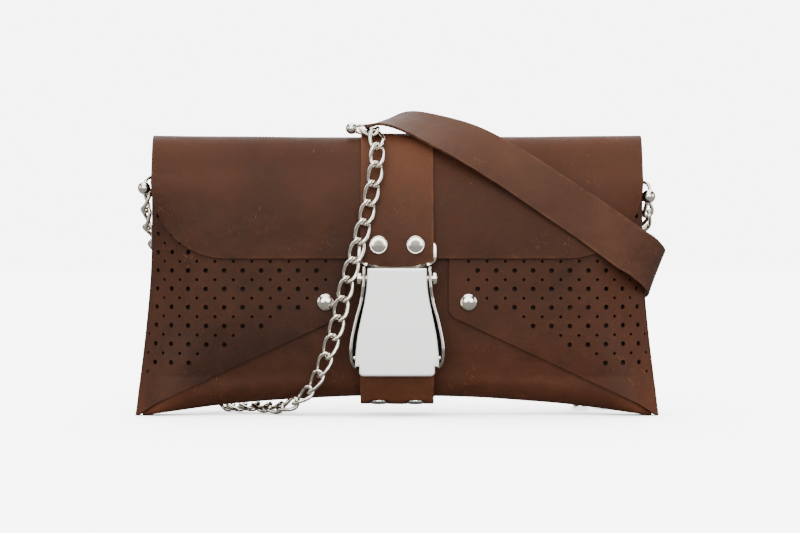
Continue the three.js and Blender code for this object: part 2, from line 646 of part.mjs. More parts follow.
function linkPlaces(route, count) {
  const path = new THREE.CatmullRomCurve3(route.map(([x, y, z]) => vec(x, y, z)), false, "centripetal");
  path.arcLengthDivisions = 2000;
  return steps(0, 1, count).slice(0, count).map((from) => {
    const to = from + 1 / count;
    const [start, end] = [path.getPointAt(from), path.getPointAt(min(1, to))];
    const t = path.getUtoTmapping((from + to) / 2) * (route.length - 1);
    const k = min(route.length - 2, Math.floor(t));
    const [lie, look] = [3, 4].map((column) => lerp(route[k][column] ?? 0, route[k + 1][column] ?? 0, t - k));
    const axis = end.clone().sub(start).normalize();
    const face = vec(sin(look) * (1 - lie), -cos(look) * (1 - lie), lie);
    const side = face.clone().cross(axis).normalize();
    const basis = new THREE.Matrix4().makeBasis(axis, side, axis.clone().cross(side));
    return basis.setPosition(start.add(end).multiplyScalar(0.5));
  });
}

const LEFT_RUNS = [...Array(20).fill(1), 4, 3, 3, 1, 1, 1, 1];
const RIGHT_RUNS = [5, 4, 4, 4, 4, 4, 4, 5];

// Each run of links is one mesh, joined at every link but those where two runs meet.
function makeChain(route, runs, nameOf) {
  const places = linkPlaces(route, runs.reduce((a, b) => a + b));
  let next = 0;
  return runs.map((length, run) => {
    const links = places.slice(next, next + length).map((place, k) => {
      const before = k > 0 ? JOINED_END : FREE_END;
      const after = k < length - 1 ? JOINED_END : FREE_END;
      return makeLink(before, after).applyMatrix4(place);
    });
    next += length;
    return [nameOf(run), links.length > 1 ? join(...links) : links[0]];
  });
}

// ---- the bag ----
const ringCuts = (name) => makeRing(RINGS[name], 1.15 + GAP, false);
const look = (color, roughness, metalness) => new THREE.MeshStandardMaterial({ color, roughness, metalness });
const MATERIALS = {
  leather: look(0x4c3229, 0.55, 0),
  band: look(0x6b4230, 0.5, 0),
  strap: look(0x704a34, 0.5, 0),
  satin: look(0xdedcd8, 0.35, 1),
  metal: look(0xc8beaf, 0.15, 1),
};

const bag = new THREE.Group();
const add = (name, geometry, material = "metal") => {
  const mesh = new THREE.Mesh(geometry, MATERIALS[material]);
  mesh.name = name;
  bag.add(mesh);
};

add("body_panel", makeBodyPanel([ringCuts("ring_bag_left"), ringCuts("ring_bag_right")]), "leather");
add("wing_left", makeWing(-1, ringCuts("ring_bag_left")), "leather");
add("wing_right", makeWing(1, ringCuts("ring_bag_right")), "leather");
add("flap", makeFlap(), "leather");
add("flap_band", makeFlapBand(), "band");
add("base_band", makeBaseBand(), "band");
for (const [side, name] of [[-1, "left"], [1, "right"]]) {
  const x = side * RIVET_X;
  const high = vec(x, bandFaceAt(117.1), 117.1);
  const behind = vec(x, backFaceAt(97) + 2 * (GAP + LEATHER) + GAP, 97);
  const onWing = vec(side * STUD.x, -(panelDepth(STUD.z) + WING_LIFT), STUD.z);
  add(`rivet_flap_${name}`, makeCap(FLAT_CAP, high, vec(0, -1, 0)));
  add(`rivet_base_${name}`, makeCap(FLAT_CAP, underRivet(x), UNDER_OUT));
  add(`rivet_back_${name}`, makeCap(FLAT_CAP, behind, vec(0, 1, 0)));
  add(`stud_${name}`, makeCap(DOME_CAP, onWing, vec(0, -1, 0)));
}
add("tongue", makeTongue());
add("buckle_housing", makeHousing());
add("lever_pin", makePin());
add("band_bar", rod(vec(-29.7, BAR.y, BAR.z), vec(29.7, BAR.y, BAR.z), BAR.radius, 10));
add("buckle_lever", makeLever(), "satin");
add("strap", makeStrap([ringCuts("ring_strap_left"), ringCuts("ring_strap_right")]), "strap");
for (const [name, ring] of Object.entries(RINGS)) add(name, makeRing(ring));
const number = (k) => String(k + 1).padStart(2, "0");
const leftName = (run) => {
  if (run < 20) return `link_${number(run)}`;
  return run < 23 ? `chain_left_${number(run - 20)}` : `link_${number(run - 3)}`;
};
for (const [name, geometry] of makeChain(LEFT_ROUTE, LEFT_RUNS, leftName)) add(name, geometry);
for (const [name, geometry] of makeChain(RIGHT_ROUTE, RIGHT_RUNS, (run) => `chain_right_${number(run)}`)) {
  add(name, geometry);
}

// The part's origin is the middle of its bounding box's base.
const bounds = new THREE.Box3().setFromObject(bag, true);
bag.position.set(-(bounds.min.x + bounds.max.x) / 2, -(bounds.min.y + bounds.max.y) / 2, -bounds.min.z);

export default bag;
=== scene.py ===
"""A foldover leather clutch bag, closed by a lift-lever belt buckle, with a chain and leather strap.

Metres in the scene; the sizes below are millimetres from the middle of the bag's base.
The front faces -Y, +X is to the right, +Z is up and the bag stands on z = 0.
"""

import math
from bisect import bisect_right

import bmesh
import bpy
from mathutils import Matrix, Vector, noise
from mathutils.geometry import tessellate_polygon
from mathutils.kdtree import KDTree


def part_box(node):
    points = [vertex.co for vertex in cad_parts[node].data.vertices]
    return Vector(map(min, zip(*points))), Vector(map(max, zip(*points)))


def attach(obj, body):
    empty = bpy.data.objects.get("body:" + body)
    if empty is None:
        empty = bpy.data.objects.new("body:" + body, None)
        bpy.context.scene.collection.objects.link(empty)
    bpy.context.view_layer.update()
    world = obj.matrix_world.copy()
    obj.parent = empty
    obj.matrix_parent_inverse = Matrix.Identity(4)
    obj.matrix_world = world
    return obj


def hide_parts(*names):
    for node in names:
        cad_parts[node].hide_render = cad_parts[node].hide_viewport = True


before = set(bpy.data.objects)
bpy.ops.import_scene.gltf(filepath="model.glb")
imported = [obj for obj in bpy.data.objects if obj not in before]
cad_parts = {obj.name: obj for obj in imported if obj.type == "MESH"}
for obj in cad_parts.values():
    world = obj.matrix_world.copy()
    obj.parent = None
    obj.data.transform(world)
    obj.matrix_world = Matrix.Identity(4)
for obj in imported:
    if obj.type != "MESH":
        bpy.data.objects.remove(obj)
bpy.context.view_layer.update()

# ---- The studio ----
# A wide pale floor under a white tent: soft light from above, from behind and from both sides, and a glow
# from in front. The camera looks level at the bag from a metre and a half away.
BAR_AT = Vector((0, -30, 40))  # the buckle's bar, from the middle of the bag's base
FLOOR_HALF = 40.0  # metres
FLOOR_PAPER = (0.55, 0.15, 2.65)  # how light it is for soft light, in reflections and to the eye
LAMPS = [
    ((-0.08, -0.32, 0.94), 0.78, 0.90, 5.2),
    ((0.0, -1.0, 0.10), 0.78, 0.88, 7.5),
    ((0.0, -1.0, -0.02), 0.975, 0.990, -6.6),
    ((-0.95, -0.25, 0.20), 0.88, 0.94, 2.6),
    ((0.95, -0.25, 0.20), 0.88, 0.94, 3.4),
    ((0.0, 1.0, 0.20), 0.75, 0.95, 2.4),
    ((0.0, 0.50, 0.86), 0.80, 0.92, 5.0),
]  # a direction, the cosines where its light starts and where it is full, and its strength
TENT_GLOW = 0.10  # the light between the lamps
WALL_GLOW = 8.3  # the tent as the eye sees it
LENS, SENSOR = 99.0, 36.0  # the camera's focal length and the width of its film
CAMERA_AT = (2.0, -1525.0, 102.4)

bar_low, bar_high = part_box("band_bar")
BASE_MIDDLE = (bar_low + bar_high) / 2 - BAR_AT / 1000


def in_scene(point):
    """A place on the bag, in millimetres from the middle of its base, as a place in the scene."""
    return BASE_MIDDLE + Vector(point) / 1000


def plug(tree, node, sockets):
    """Sets a node's sockets; each takes a number, a colour or another node's output."""
    for name, value in sockets.items():
        if isinstance(value, bpy.types.NodeSocket):
            tree.links.new(value, node.inputs[name])
        else:
            node.inputs[name].default_value = value
    return node


def add_node(tree, kind, sockets=None, **settings):
    node = tree.nodes.new("ShaderNode" + kind)
    for name, value in settings.items():
        setattr(node, name, value)
    return plug(tree, node, sockets or {})


def mixed(tree, share, first, second):
    """Two colours, or outputs that carry them, mixed by a share."""
    ends = [(*end, 1) if isinstance(end, tuple) else end for end in (first, second)]
    node = add_node(tree, "Mix", {"Factor": share, "A": ends[0], "B": ends[1]}, data_type="RGBA")
    return node.outputs["Result"]


def blank_material(name):
    """A new node material and its tree, with nothing in it but an output."""
    material = bpy.data.materials.new(name)
    material.use_nodes = True
    tree = material.node_tree
    tree.nodes.clear()
    return material, tree, tree.nodes.new("ShaderNodeOutputMaterial")


def put_in_scene(name, mesh):
    thing = bpy.data.objects.new(name, mesh)
    bpy.context.scene.collection.objects.link(thing)
    return thing


def lay_floor():
    mesh = bpy.data.meshes.new("studio_floor")
    corners = [(-1, -1), (1, -1), (1, 1), (-1, 1)]
    mesh.from_pydata([(x * FLOOR_HALF, y * FLOOR_HALF, 0) for x, y in corners], [], [(0, 1, 2, 3)])
    material, tree, out = blank_material("pale_paper")
    seen = add_node(tree, "LightPath").outputs
    soft, mirrored, to_eye = [(shade, shade, shade) for shade in FLOOR_PAPER]
    paper = mixed(tree, seen["Is Glossy Ray"], soft, mirrored)
    matt = add_node(tree, "BsdfDiffuse", {"Color": mixed(tree, seen["Is Camera Ray"], paper, to_eye)})
    tree.links.new(matt.outputs["BSDF"], out.inputs["Surface"])
    mesh.materials.append(material)
    put_in_scene("studio_floor", mesh)


def hang_tent():
    world = bpy.data.worlds.new("tent")
    bpy.context.scene.world = world
    world.use_nodes = True
    tree = world.node_tree
    tree.nodes.clear()
    around = add_node(tree, "TexCoord").outputs["Generated"]
    glow = TENT_GLOW
    for direction, start, full, power in LAMPS:
        facing = add_node(
            tree, "VectorMath", {0: around, 1: Vector(direction).normalized()}, operation="DOT_PRODUCT"
        ).outputs["Value"]
        lamp = add_node(
            tree,
            "MapRange",
            {"Value": facing, "From Min": start, "From Max": full, "To Max": power},
            interpolation_type="SMOOTHSTEP",
        ).outputs["Result"]
        glow = add_node(tree, "Math", {0: glow, 1: lamp}, operation="ADD").outputs["Value"]
    lit = add_node(tree, "Background", {"Strength": glow}).outputs["Background"]
    plain = add_node(tree, "Background", {"Strength": WALL_GLOW}).outputs["Background"]
    seen = add_node(tree, "LightPath").outputs["Is Camera Ray"]
    tent = add_node(tree, "MixShader", {"Fac": seen, 1: lit, 2: plain}).outputs["Shader"]
    add_node(tree, "OutputWorld", {"Surface": tent})


def set_camera():
    lens = bpy.data.cameras.new("camera")
    lens.lens = LENS
    lens.sensor_width = SENSOR
    camera = put_in_scene("camera", lens)
    camera.location = in_scene(CAMERA_AT)
    camera.rotation_euler = (math.pi / 2, 0, 0)
    bpy.context.scene.camera = camera


lay_floor()
hang_tent()
set_camera()

# ---- The body: back, bottom fold and low front ----
# One strip of 2 mm oiled cowhide goes down the back, turns under as a rounded fold and comes a little way
# up the front. It is wrapped round a soft pillow, flat in the middle and tight at the side folds.
LEATHER = 2.0
WING_LIFT = 2.8  # the back and the wings lie this far outside the front panel
BODY_TOP, FRONT_TOP, WING_TOP = 165.0, 162.0, 158.5
TOP_HALF = 167.1  # half the body's width at the top
SPREAD, SPREAD_FROM = 9.9, 130  # how much further out each side is at the feet, and where that starts
MID_DEPTH, FOOT_DEPTH, TOP_THINNER = 19.7, 14.5, 7  # half its depth; the top is this much thinner
FULLEST, THIN_RUN = 85, 58  # its deepest height, and how far below it the depth falls to the feet's
SIDE_RADIUS, SIDE_TURN = 62.2, 0.768  # the slow curve towards each side
FOLD_RADIUS = 3.2  # the tight fold that ends it
FOLD_START = SIDE_RADIUS * SIDE_TURN
FOLD_END = FOLD_START + FOLD_RADIUS * (math.pi / 2 - SIDE_TURN)
SIDE_RUN = (SIDE_RADIUS - FOLD_RADIUS) * math.sin(SIDE_TURN) + FOLD_RADIUS
SIDE_BACK = SIDE_RADIUS - (SIDE_RADIUS - FOLD_RADIUS) * math.cos(SIDE_TURN)
ARCH, ARCH_HALF = 12.8, 172  # the bottom edge is this much higher in the middle than at the feet
BASE_DROP = 0.9
LOW_SAMPLE = 20.0  # the height whose width and depth the bottom fold takes up
FOOT_TRIM = 0.3  # nothing of the fold reaches below this
FOOT_SQUARE = 0.25  # how square the fold is at the feet; 1 is round
CORNER_LEAN, LEAN_TOP = 14.0, 100  # how far forward the lower corners are drawn, and from what height down
LEAN_FROM, LEAN_FULL = 116, 170  # where across that starts, and where it is full
WING_INNER = 35.4
WING_SLOPE = 0.4657
WING_CORNER = (43.4, 74.2, 8.0)  # across, height and radius of a wing's rounded inner corner
WING_STRAIGHT, WING_EDGE_AT = 40, (40.8, 66.6)  # where its straight lower edge begins, and a place on it
HIDE_RIPPLE = (42.0, 0.22)  # how long the hide's slow ripples are, and how high
SINK = 0.1  # the hide lies this far in, so that its ripples stay near their mean place


def lerp(a, b, share):
    return a + (b - a) * share


def ease(value, low, high):
    share = min(1.0, max(0.0, (value - low) / (high - low)))
    return share * share * (3 - 2 * share)


def steps(low, high, count):
    return [lerp(low, high, k / count) for k in range(count + 1)]


def both_ways(values):
    """The same steps to either side of the middle line; the values start at 0."""
    return [-v for v in reversed(values[1:])] + list(values)


def half_width(z):
    """Half the body's width at a height."""
    return TOP_HALF + SPREAD * (max(0.0, SPREAD_FROM - z) / SPREAD_FROM) ** 1.7


def flat_half(z):
    """Half the width of the flat middle, between the two curved sides."""
    return half_width(z) - SIDE_RUN


def bottom_height(x):
    """How high the bottom edge arches."""
    return ARCH * max(0.0, 1 - (x / ARCH_HALF) ** 2)


def panel_depth(z):
    """Half the bag's depth in its flat middle."""
    if z > FULLEST:
        return MID_DEPTH - TOP_THINNER * ((z - FULLEST) / (BODY_TOP - FULLEST)) ** 4
    return MID_DEPTH - (MID_DEPTH - FOOT_DEPTH) * min(1.0, (FULLEST - z) / THIN_RUN) ** 2.5


def side_curve(run):
    """How far out a place lies beyond the flat face, and what share of the depth is left there."""
    if run <= 0:
        return run, 1.0
    turn = min(run / SIDE_RADIUS, SIDE_TURN)
    if run <= FOLD_START:
        return SIDE_RADIUS * math.sin(turn), 1 - SIDE_RADIUS * (1 - math.cos(turn)) / SIDE_BACK
    fold = SIDE_TURN + (run - FOLD_START) / FOLD_RADIUS
    out = SIDE_RUN - FOLD_RADIUS * (1 - math.sin(fold))
    return out, max(0.0, FOLD_RADIUS * math.cos(fold) / SIDE_BACK)


def lean_at(x, z):
    """The lower corners are drawn forward under the weight of the buckle."""
    return CORNER_LEAN * ease(LEAN_TOP - z, 0, LEAN_TOP) * ease(abs(x), LEAN_FROM, LEAN_FULL)


def pillow_depth(along, z):
    """Half the bag's depth: sharp at the sides half way up, fuller at the top and fullest at the feet."""
    keep = side_curve(abs(along) - flat_half(z))[1]
    fullness = 1 - 0.4 * ease(z, 100, BODY_TOP) - 0.37 * ease(72 - z, 0, 64)
    return panel_depth(z) * keep ** fullness


def pillow(along, z, side):
    """A place on the pillow, `along` round from its middle line at height z; side is -1 in front."""
    flat = flat_half(z)
    across = math.copysign(flat + side_curve(abs(along) - flat)[0], along)
    return Vector((across, side * pillow_depth(along, z) - lean_at(across, z), z))


def body_face(c, r):
    """r runs 0 to 1 down the front, 1 to 2 round the bottom fold and 2 to 3 up the back."""
    side = -1 if r < 1.5 else 1
    reach = lerp(FOLD_START - 2, FOLD_END - 0.2, ease(r, 2, 2.06))
    low_along = -c * (flat_half(LOW_SAMPLE) + reach)
    low_x = abs(pillow(low_along, LOW_SAMPLE, side).x)
    radius = FOOT_DEPTH * pillow_depth(low_along, LOW_SAMPLE) / panel_depth(LOW_SAMPLE)
    centre = bottom_height(low_x) + radius + BASE_DROP
    if r <= 1:
        z = lerp(FRONT_TOP, centre, r)
        return pillow(-c * (flat_half(z) + reach), z, side)
    if r >= 2:
        top = lerp(BODY_TOP - 0.3, WING_TOP, ease(low_x, 158, 162))
        z = lerp(centre, top, r - 2)
        return pillow(-c * (flat_half(z) + reach), z, side)
    turn = (r - 1) * math.pi
    square = lerp(1, FOOT_SQUARE, ease(low_x, 140, 168))
    z = centre - radius * math.sin(turn) ** square
    x = pillow(-c * (flat_half(z) + reach), z, side).x
    y = -radius * math.copysign(abs(math.cos(turn)) ** square, math.cos(turn))
    return Vector((x, y - lean_at(x, z), z))


def wing_low_edge(x):
    """The height of a wing's lower edge: a round inner corner and then a straight slope."""
    across, height, radius = WING_CORNER
    if x > WING_STRAIGHT:
        return WING_EDGE_AT[1] - WING_SLOPE * (x - WING_EDGE_AT[0])
    return height - math.sqrt(max(0.0, radius ** 2 - (across - x) ** 2))


def ripple(place, size, height):
    """A slow unevenness of the hide, in millimetres."""
    return height * noise.noise(place / size)


def skin_points(columns, rows, face, lift):
    """The grain side of a wrapped sheet: the face it lies on, lifted out along its own normal."""
    step = 1e-3
    points = []
    for r in rows:
        for c in columns:
            across = face(c + step, r) - face(c - step, r)
            down = face(c, r + step) - face(c, r - step)
            here = face(c, r)
            normal = across.cross(down).normalized()
            points.append(here + normal * (lift(r) + ripple(here, *HIDE_RIPPLE) - SINK))
    return points


def grid_faces(wide, tall):
    return [
        (j * wide + i, j * wide + i + 1, (j + 1) * wide + i + 1, (j + 1) * wide + i)
        for j in range(tall - 1)
        for i in range(wide - 1)
    ]


def new_piece(name, points, faces):
    """A mesh from places in bag millimetres, smooth all over."""
    mesh = bpy.data.meshes.new(name)
    mesh.from_pydata([in_scene(p) for p in points], [], faces)
    mesh.polygons.foreach_set("use_smooth", [True] * len(faces))
    mesh.update()
    return put_in_scene(name, mesh)


def store(piece, name, values):
    """Keeps one number for each place of a piece, for its finish to read."""
    piece.data.attributes.new(name, "FLOAT", "POINT").data.foreach_set("value", values)


def in_bag(point):
    """A place in the scene, in millimetres from the middle of the bag's base."""
    return (point - BASE_MIDDLE) * 1000


def tone_skin(piece, tone):
    """Stores how light or deep the hide is coloured at each place, from 0 deep to 1 light; in places this
    is painted light and shade, and below 0 it is painted shade.
    """
    store(piece, "tone", [tone(in_bag(v.co)) for v in piece.data.vertices])


def wear_edges(piece, reach=2.6, amount=1.0):
    """Stores how near each place is to a cut edge, where handling has rubbed the hide lighter."""
    tools = bmesh.new()
    tools.from_mesh(piece.data)
    border = [v.co.copy() for v in tools.verts if any(e.is_boundary for e in v.link_edges)]
    tools.free()
    tree = KDTree(len(border))
    for k, place in enumerate(border):
        tree.insert(place, k)
    tree.balance()
    near = [tree.find(v.co)[2] * 1000 / reach for v in piece.data.vertices]
    store(piece, "rub", [amount * max(0.0, 1 - share) for share in near])


def cut_leather(piece, hide, edge=0.45):
    """Gives a skin its thickness and rounded cut edges; hide is its grain, flesh and edge finishes."""
    for finish in hide:
        piece.data.materials.append(finish)
    solid = piece.modifiers.new("thickness", "SOLIDIFY")
    solid.thickness = LEATHER / 1000
    solid.offset = -1
    solid.use_even_offset = True
    solid.material_offset = 1
    solid.material_offset_rim = 2
    rounded = piece.modifiers.new("edges", "BEVEL")
    rounded.width = edge / 1000
    rounded.segments = 2
    rounded.limit_method = "ANGLE"
    rounded.angle_limit = math.radians(50)
    rounded.harden_normals = True


def speckle(tree, scale, detail=3.0, rough=0.55, warp=0.0):
    """A noise that is fixed to the hide, in turns per metre."""
    place = tree.nodes["on_piece"].outputs["Object"]
    sockets = {"Vector": place, "Scale": scale, "Detail": detail, "Roughness": rough, "Distortion": warp}
    return add_node(tree, "TexNoise", sockets).outputs["Fac"]


def figured(tree, operation, first, second, clamp=False):
    """One step of arithmetic on the shader; either side is a number or an output."""
    node = add_node(tree, "Math", {0: first, 1: second}, operation=operation, use_clamp=clamp)
    return node.outputs["Value"]


def ranged(tree, value, low, high, to_low, to_high):
    sockets = {"Value": value, "From Min": low, "From Max": high, "To Min": to_low, "To Max": to_high}
    return add_node(tree, "MapRange", sockets).outputs["Result"]


def spread(tree, noise_out, to_low, to_high):
    """A noise's usual range, stretched to another."""
    return ranged(tree, noise_out, 0.3, 0.7, to_low, to_high)


def added(tree, *values):
    """The sum of two or more outputs."""
    total = values[0]
    for value in values[1:]:
        total = figured(tree, "ADD", total, value)
    return total


def stored(tree, name):
    return add_node(tree, "Attribute", attribute_name=name).outputs["Fac"]


SCRATCH_SIZE = (0.006, 0.006, 0.00045)  # how far apart and how fine the scratches are, in metres


def scratched(tree, lean):
    """Short straight scratches across the face, all at one lean; 1 in a scratch and 0 elsewhere."""
    place = tree.nodes["on_piece"].outputs["Object"]
    sockets = {"Vector": place, "Rotation": (0, lean, 0), "Scale": SCRATCH_SIZE}
    along = add_node(tree, "Mapping", sockets, vector_type="TEXTURE").outputs["Vector"]
    streak = add_node(tree, "TexNoise", {"Vector": along, "Scale": 1.0, "Detail": 1.0}).outputs["Fac"]
    return ranged(tree, streak, 0.71, 0.76, 0.0, 1.0)


def start_finish(name):
    """A material with its place on the piece and a shader ready; returns the tree and the shader."""
    material, tree, out = blank_material(name)
    add_node(tree, "TexCoord", name="on_piece")
    shader = add_node(tree, "BsdfPrincipled")
    tree.links.new(shader.outputs["BSDF"], out.inputs["Surface"])
    return material, tree, shader


def raise_grain(tree, shader, layers):
    """Bumps stacked on each other; each layer is an output and its depth in metres."""
    sockets = {"Strength": 1.0}
    for height, depth in layers:
        sockets.update({"Height": height, "Distance": depth})
        sockets["Normal"] = add_node(tree, "Bump", sockets).outputs["Normal"]
    tree.links.new(sockets["Normal"], shader.inputs["Normal"])


def oiled_grain(name, deep, light, scratch):
    """Pull-up leather: deep oil, mottled with drier patches, with rubbed edges and fine dry scratches; its
    stored tone also carries painted light and painted shade.
    """
    material, tree, shader = start_finish(name)
    clouds = speckle(tree, 13.0, 4.0, 0.55, 0.4)
    mottle = speckle(tree, 75.0, 5.0, 0.6)
    pores = speckle(tree, 1500.0, 3.0, 0.6)
    wrinkle = speckle(tree, 260.0, 4.0, 0.6, 0.6)
    tone = stored(tree, "tone")
    share = added(
        tree,
        tone,
        spread(tree, clouds, -0.12, 0.12),
        spread(tree, mottle, -0.07, 0.07),
        ranged(tree, pores, 0.35, 0.65, -0.05, 0.05),
    )
    rubbed = figured(tree, "MULTIPLY", stored(tree, "rub"), ranged(tree, mottle, 0.4, 0.62, 0.0, 0.3))
    share = figured(tree, "ADD", share, rubbed, clamp=True)
    # painted shade: where the stored tone falls below -0.2 the grain is painted towards black
    painted_shade_gate = ranged(tree, tone, -1.0, -0.2, 0.12, 1.0)
    skin = mixed(tree, painted_shade_gate, (0, 0, 0), mixed(tree, share, deep, light))
    sparse = ranged(tree, speckle(tree, 31.0), 0.52, 0.64, 0.0, 0.6)
    both = figured(tree, "MAXIMUM", scratched(tree, 0.75), scratched(tree, -1.35))
    marks = figured(tree, "MULTIPLY", both, sparse, clamp=True)
    plug(tree, shader, {
        "Base Color": mixed(tree, marks, skin, scratch),
        "Roughness": added(tree, spread(tree, mottle, 0.50, 0.62), spread(tree, pores, -0.04, 0.04)),
        "Specular IOR Level": 0.17,
        "Specular Tint": (1.0, 0.74, 0.60, 1),
    })
    raise_grain(tree, shader, [(clouds, 0.0035), (wrinkle, 0.00018), (pores, 0.00010)])
    return material


def nappy_flesh(name, deep, light):
    """The flesh side: a dry, fibrous suede."""
    material, tree, shader = start_finish(name)
    fibres = speckle(tree, 700.0, 5.0, 0.7, 0.8)
    patches = speckle(tree, 40.0, 4.0)
    share = added(tree, spread(tree, fibres, 0.1, 0.7), spread(tree, patches, -0.2, 0.2))
    plug(tree, shader, {
        "Base Color": mixed(tree, share, deep, light),
        "Roughness": spread(tree, fibres, 0.8, 0.95),
        "Specular IOR Level": 0.15,
        "Sheen Weight": 0.05,
        "Sheen Roughness": 0.5,
    })
    raise_grain(tree, shader, [(patches, 0.0008), (fibres, 0.00022)])
    return material


def burnished_edge(name, deep, light):
    """A knife-cut edge, stained darker than the grain, its fibres just showing."""
    material, tree, shader = start_finish(name)
    fibres = speckle(tree, 1100.0, 4.0, 0.7)
    nicks = speckle(tree, 120.0, 4.0, 0.6)
    share = added(tree, spread(tree, fibres, 0.1, 0.6), ranged(tree, nicks, 0.45, 0.7, -0.15, 0.5))
    plug(tree, shader, {
        "Base Color": mixed(tree, share, deep, light),
        "Roughness": spread(tree, nicks, 0.5, 0.75),
        "Specular IOR Level": 0.2,
    })
    raise_grain(tree, shader, [(nicks, 0.0005), (fibres, 0.00015)])
    return material


def leather(name, grain, flesh, edge):
    """A hide's three finishes; grain is (deep, light, scratch), flesh and edge are (deep, light)."""
    return (
        oiled_grain(f"{name}_hide", *grain),
        nappy_flesh(f"{name}_flesh", *flesh),
        burnished_edge(f"{name}_edge", *edge),
    )


body_hide = leather(
    "body",
    ((0.0170, 0.0066, 0.0042), (0.090, 0.0275, 0.0120), (0.21, 0.075, 0.028)),
    ((0.030, 0.014, 0.009), (0.085, 0.042, 0.026)),
    ((0.009, 0.0045, 0.003), (0.07, 0.026, 0.012)),
)


def build_body():
    columns = both_ways(steps(0, 0.7, 22) + steps(0.7, 1, 34)[1:])
    rows = steps(0, 1, 56) + steps(1, 2, 22)[1:]
    rows += [2.015, 2.03, 2.045, 2.06] + steps(2.06, 3, 52)[1:]
    points = skin_points(columns, rows, body_face, lambda r: WING_LIFT * ease(r, 1.2, 2))
    for point in points:
        point.z = max(point.z, FOOT_TRIM)
    body = new_piece("bag_body", points, grid_faces(len(columns), len(rows)))

    def tone(p):
        across = abs(p.x)
        in_front = p.y + lean_at(p.x, p.z) < -2 and WING_INNER + 3 < across < half_width(p.z) - 3
        if in_front and wing_low_edge(across) + 3 < p.z < WING_TOP - 2:
            return -1.0  # painted shade: behind the wings the hide is painted black, for the shade seen through the holes
        low = ease(70 - p.z, 0, 60)
        corner = ease(abs(p.x), 135, 176) * ease(40 - p.z, 0, 34)
        worn = ease(6 - abs(p.z - bottom_height(p.x) - 1.5), 0, 6)
        return 0.20 + 0.16 * low + 0.35 * corner + 0.16 * worn

    tone_skin(body, tone)
    wear_edges(body)
    cut_leather(body, body_hide)
    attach(body, "bag")
    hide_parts("body_panel")


build_body()

# ---- The wings: perforated side panels ----
# Each wing is cut from the same hide as the back and folded round the side onto the front. A punch has
# set large holes on a square lattice, with a small one in the middle of every four, clear of the edges.
WING_SPRING = 0.63  # its outer half stands this much further out in front
HOLE_PITCH = 12.6  # of the large holes; the small ones are half a pitch off
BIG_HOLE, SMALL_HOLE = 1.7, 1.1  # radii
FIRST_HOLE = (55.1, 87.0)
CELLS_ROUND, CELLS_UP = range(-4, 24), range(-14, 12)  # half pitches from the first hole
STUD_AT = (48.9, 78.1)
STUD_CLEAR, EDGE_CLEAR, INNER_CLEAR = 9.8, 15.4, 9.5  # no hole lies nearer to the stud or the edges
FLAP_EDGE = 107.9
FLAP_HALF = 168.6
FLAP_CORNER = 52.0
UNDER_EDGE, UNDER_CORNER = 8, 6  # no hole lies further than this under the flap's edge or its corner
LOW_ROW_RISE = 2.5  # the lowest row of small holes stays this much higher near the side
RIM = 16  # places round a hole and round its cell
HOLE_MARGIN = 1.32  # a ring of places this many radii out keeps each hole round
CORNER_DROP = 1.8  # the outer corner stretches down this much to meet the body's
WING_TONES = {
    -1: (0.0, 0.03, 0.34, 166, 0.07),
    1: (0.09, 0.10, 0.30, 150, 0.03),
}  # how much lighter all over, to the side and at the corner, where that starts, and how deep at the bottom


def on_wing(s, z):
    """The grain side of the right wing: s is measured along the hide from the middle line."""
    flat = flat_half(z)
    along = min(s, flat) + max(0.0, s - flat) * SIDE_RADIUS / (SIDE_RADIUS + WING_LIFT)
    along = min(along, flat + FOLD_END - 0.2)
    here = pillow(along, z, -1)
    across = pillow(along + 0.01, z, -1) - pillow(along - 0.01, z, -1)
    down = pillow(along, z - 0.01, -1) - pillow(along, z + 0.01, -1)
    normal = down.cross(across).normalized()
    here.y -= WING_SPRING * ease(here.x, 90, 140)
    return here + normal * (WING_LIFT + 0.05 + ripple(here, *HIDE_RIPPLE) - SINK)


def hole_radius(s, z):
    """The punch used at a lattice place: big, small or none (0)."""
    x = on_wing(s, z).x
    above_edge = (z - wing_low_edge(x)) * math.cos(math.atan(WING_SLOPE))
    across, up = min(FLAP_HALF, x) - (FLAP_HALF - FLAP_CORNER), FLAP_EDGE + FLAP_CORNER - z
    if across > 0 and up > 0:
        hidden = math.hypot(across, up) < FLAP_CORNER - UNDER_CORNER
    else:
        hidden = across > 0 or up < FLAP_CORNER - UNDER_EDGE
    near_stud = math.hypot(x - STUD_AT[0], z - STUD_AT[1]) < STUD_CLEAR
    near_edge = above_edge < EDGE_CLEAR or x < WING_INNER + INNER_CLEAR
    if hidden or near_stud or near_edge:
        return 0.0
    past_turn = s - flat_half(z) - FOLD_START
    if round((s - FIRST_HOLE[0]) / HOLE_PITCH * 2) % 2 == 0:
        return BIG_HOLE if past_turn < -1 else 0.0
    clear = EDGE_CLEAR + LOW_ROW_RISE * ease(x, 140, 163) * ease(172 - x, 0, 4)
    return SMALL_HOLE if past_turn < 1 and above_edge > clear else 0.0


def closed_strip(first, second):
    """Four-sided faces between two closed rows of places, given by their numbers."""
    count = len(first)
    return [(first[k], first[(k + 1) % count], second[(k + 1) % count], second[k]) for k in range(count)]


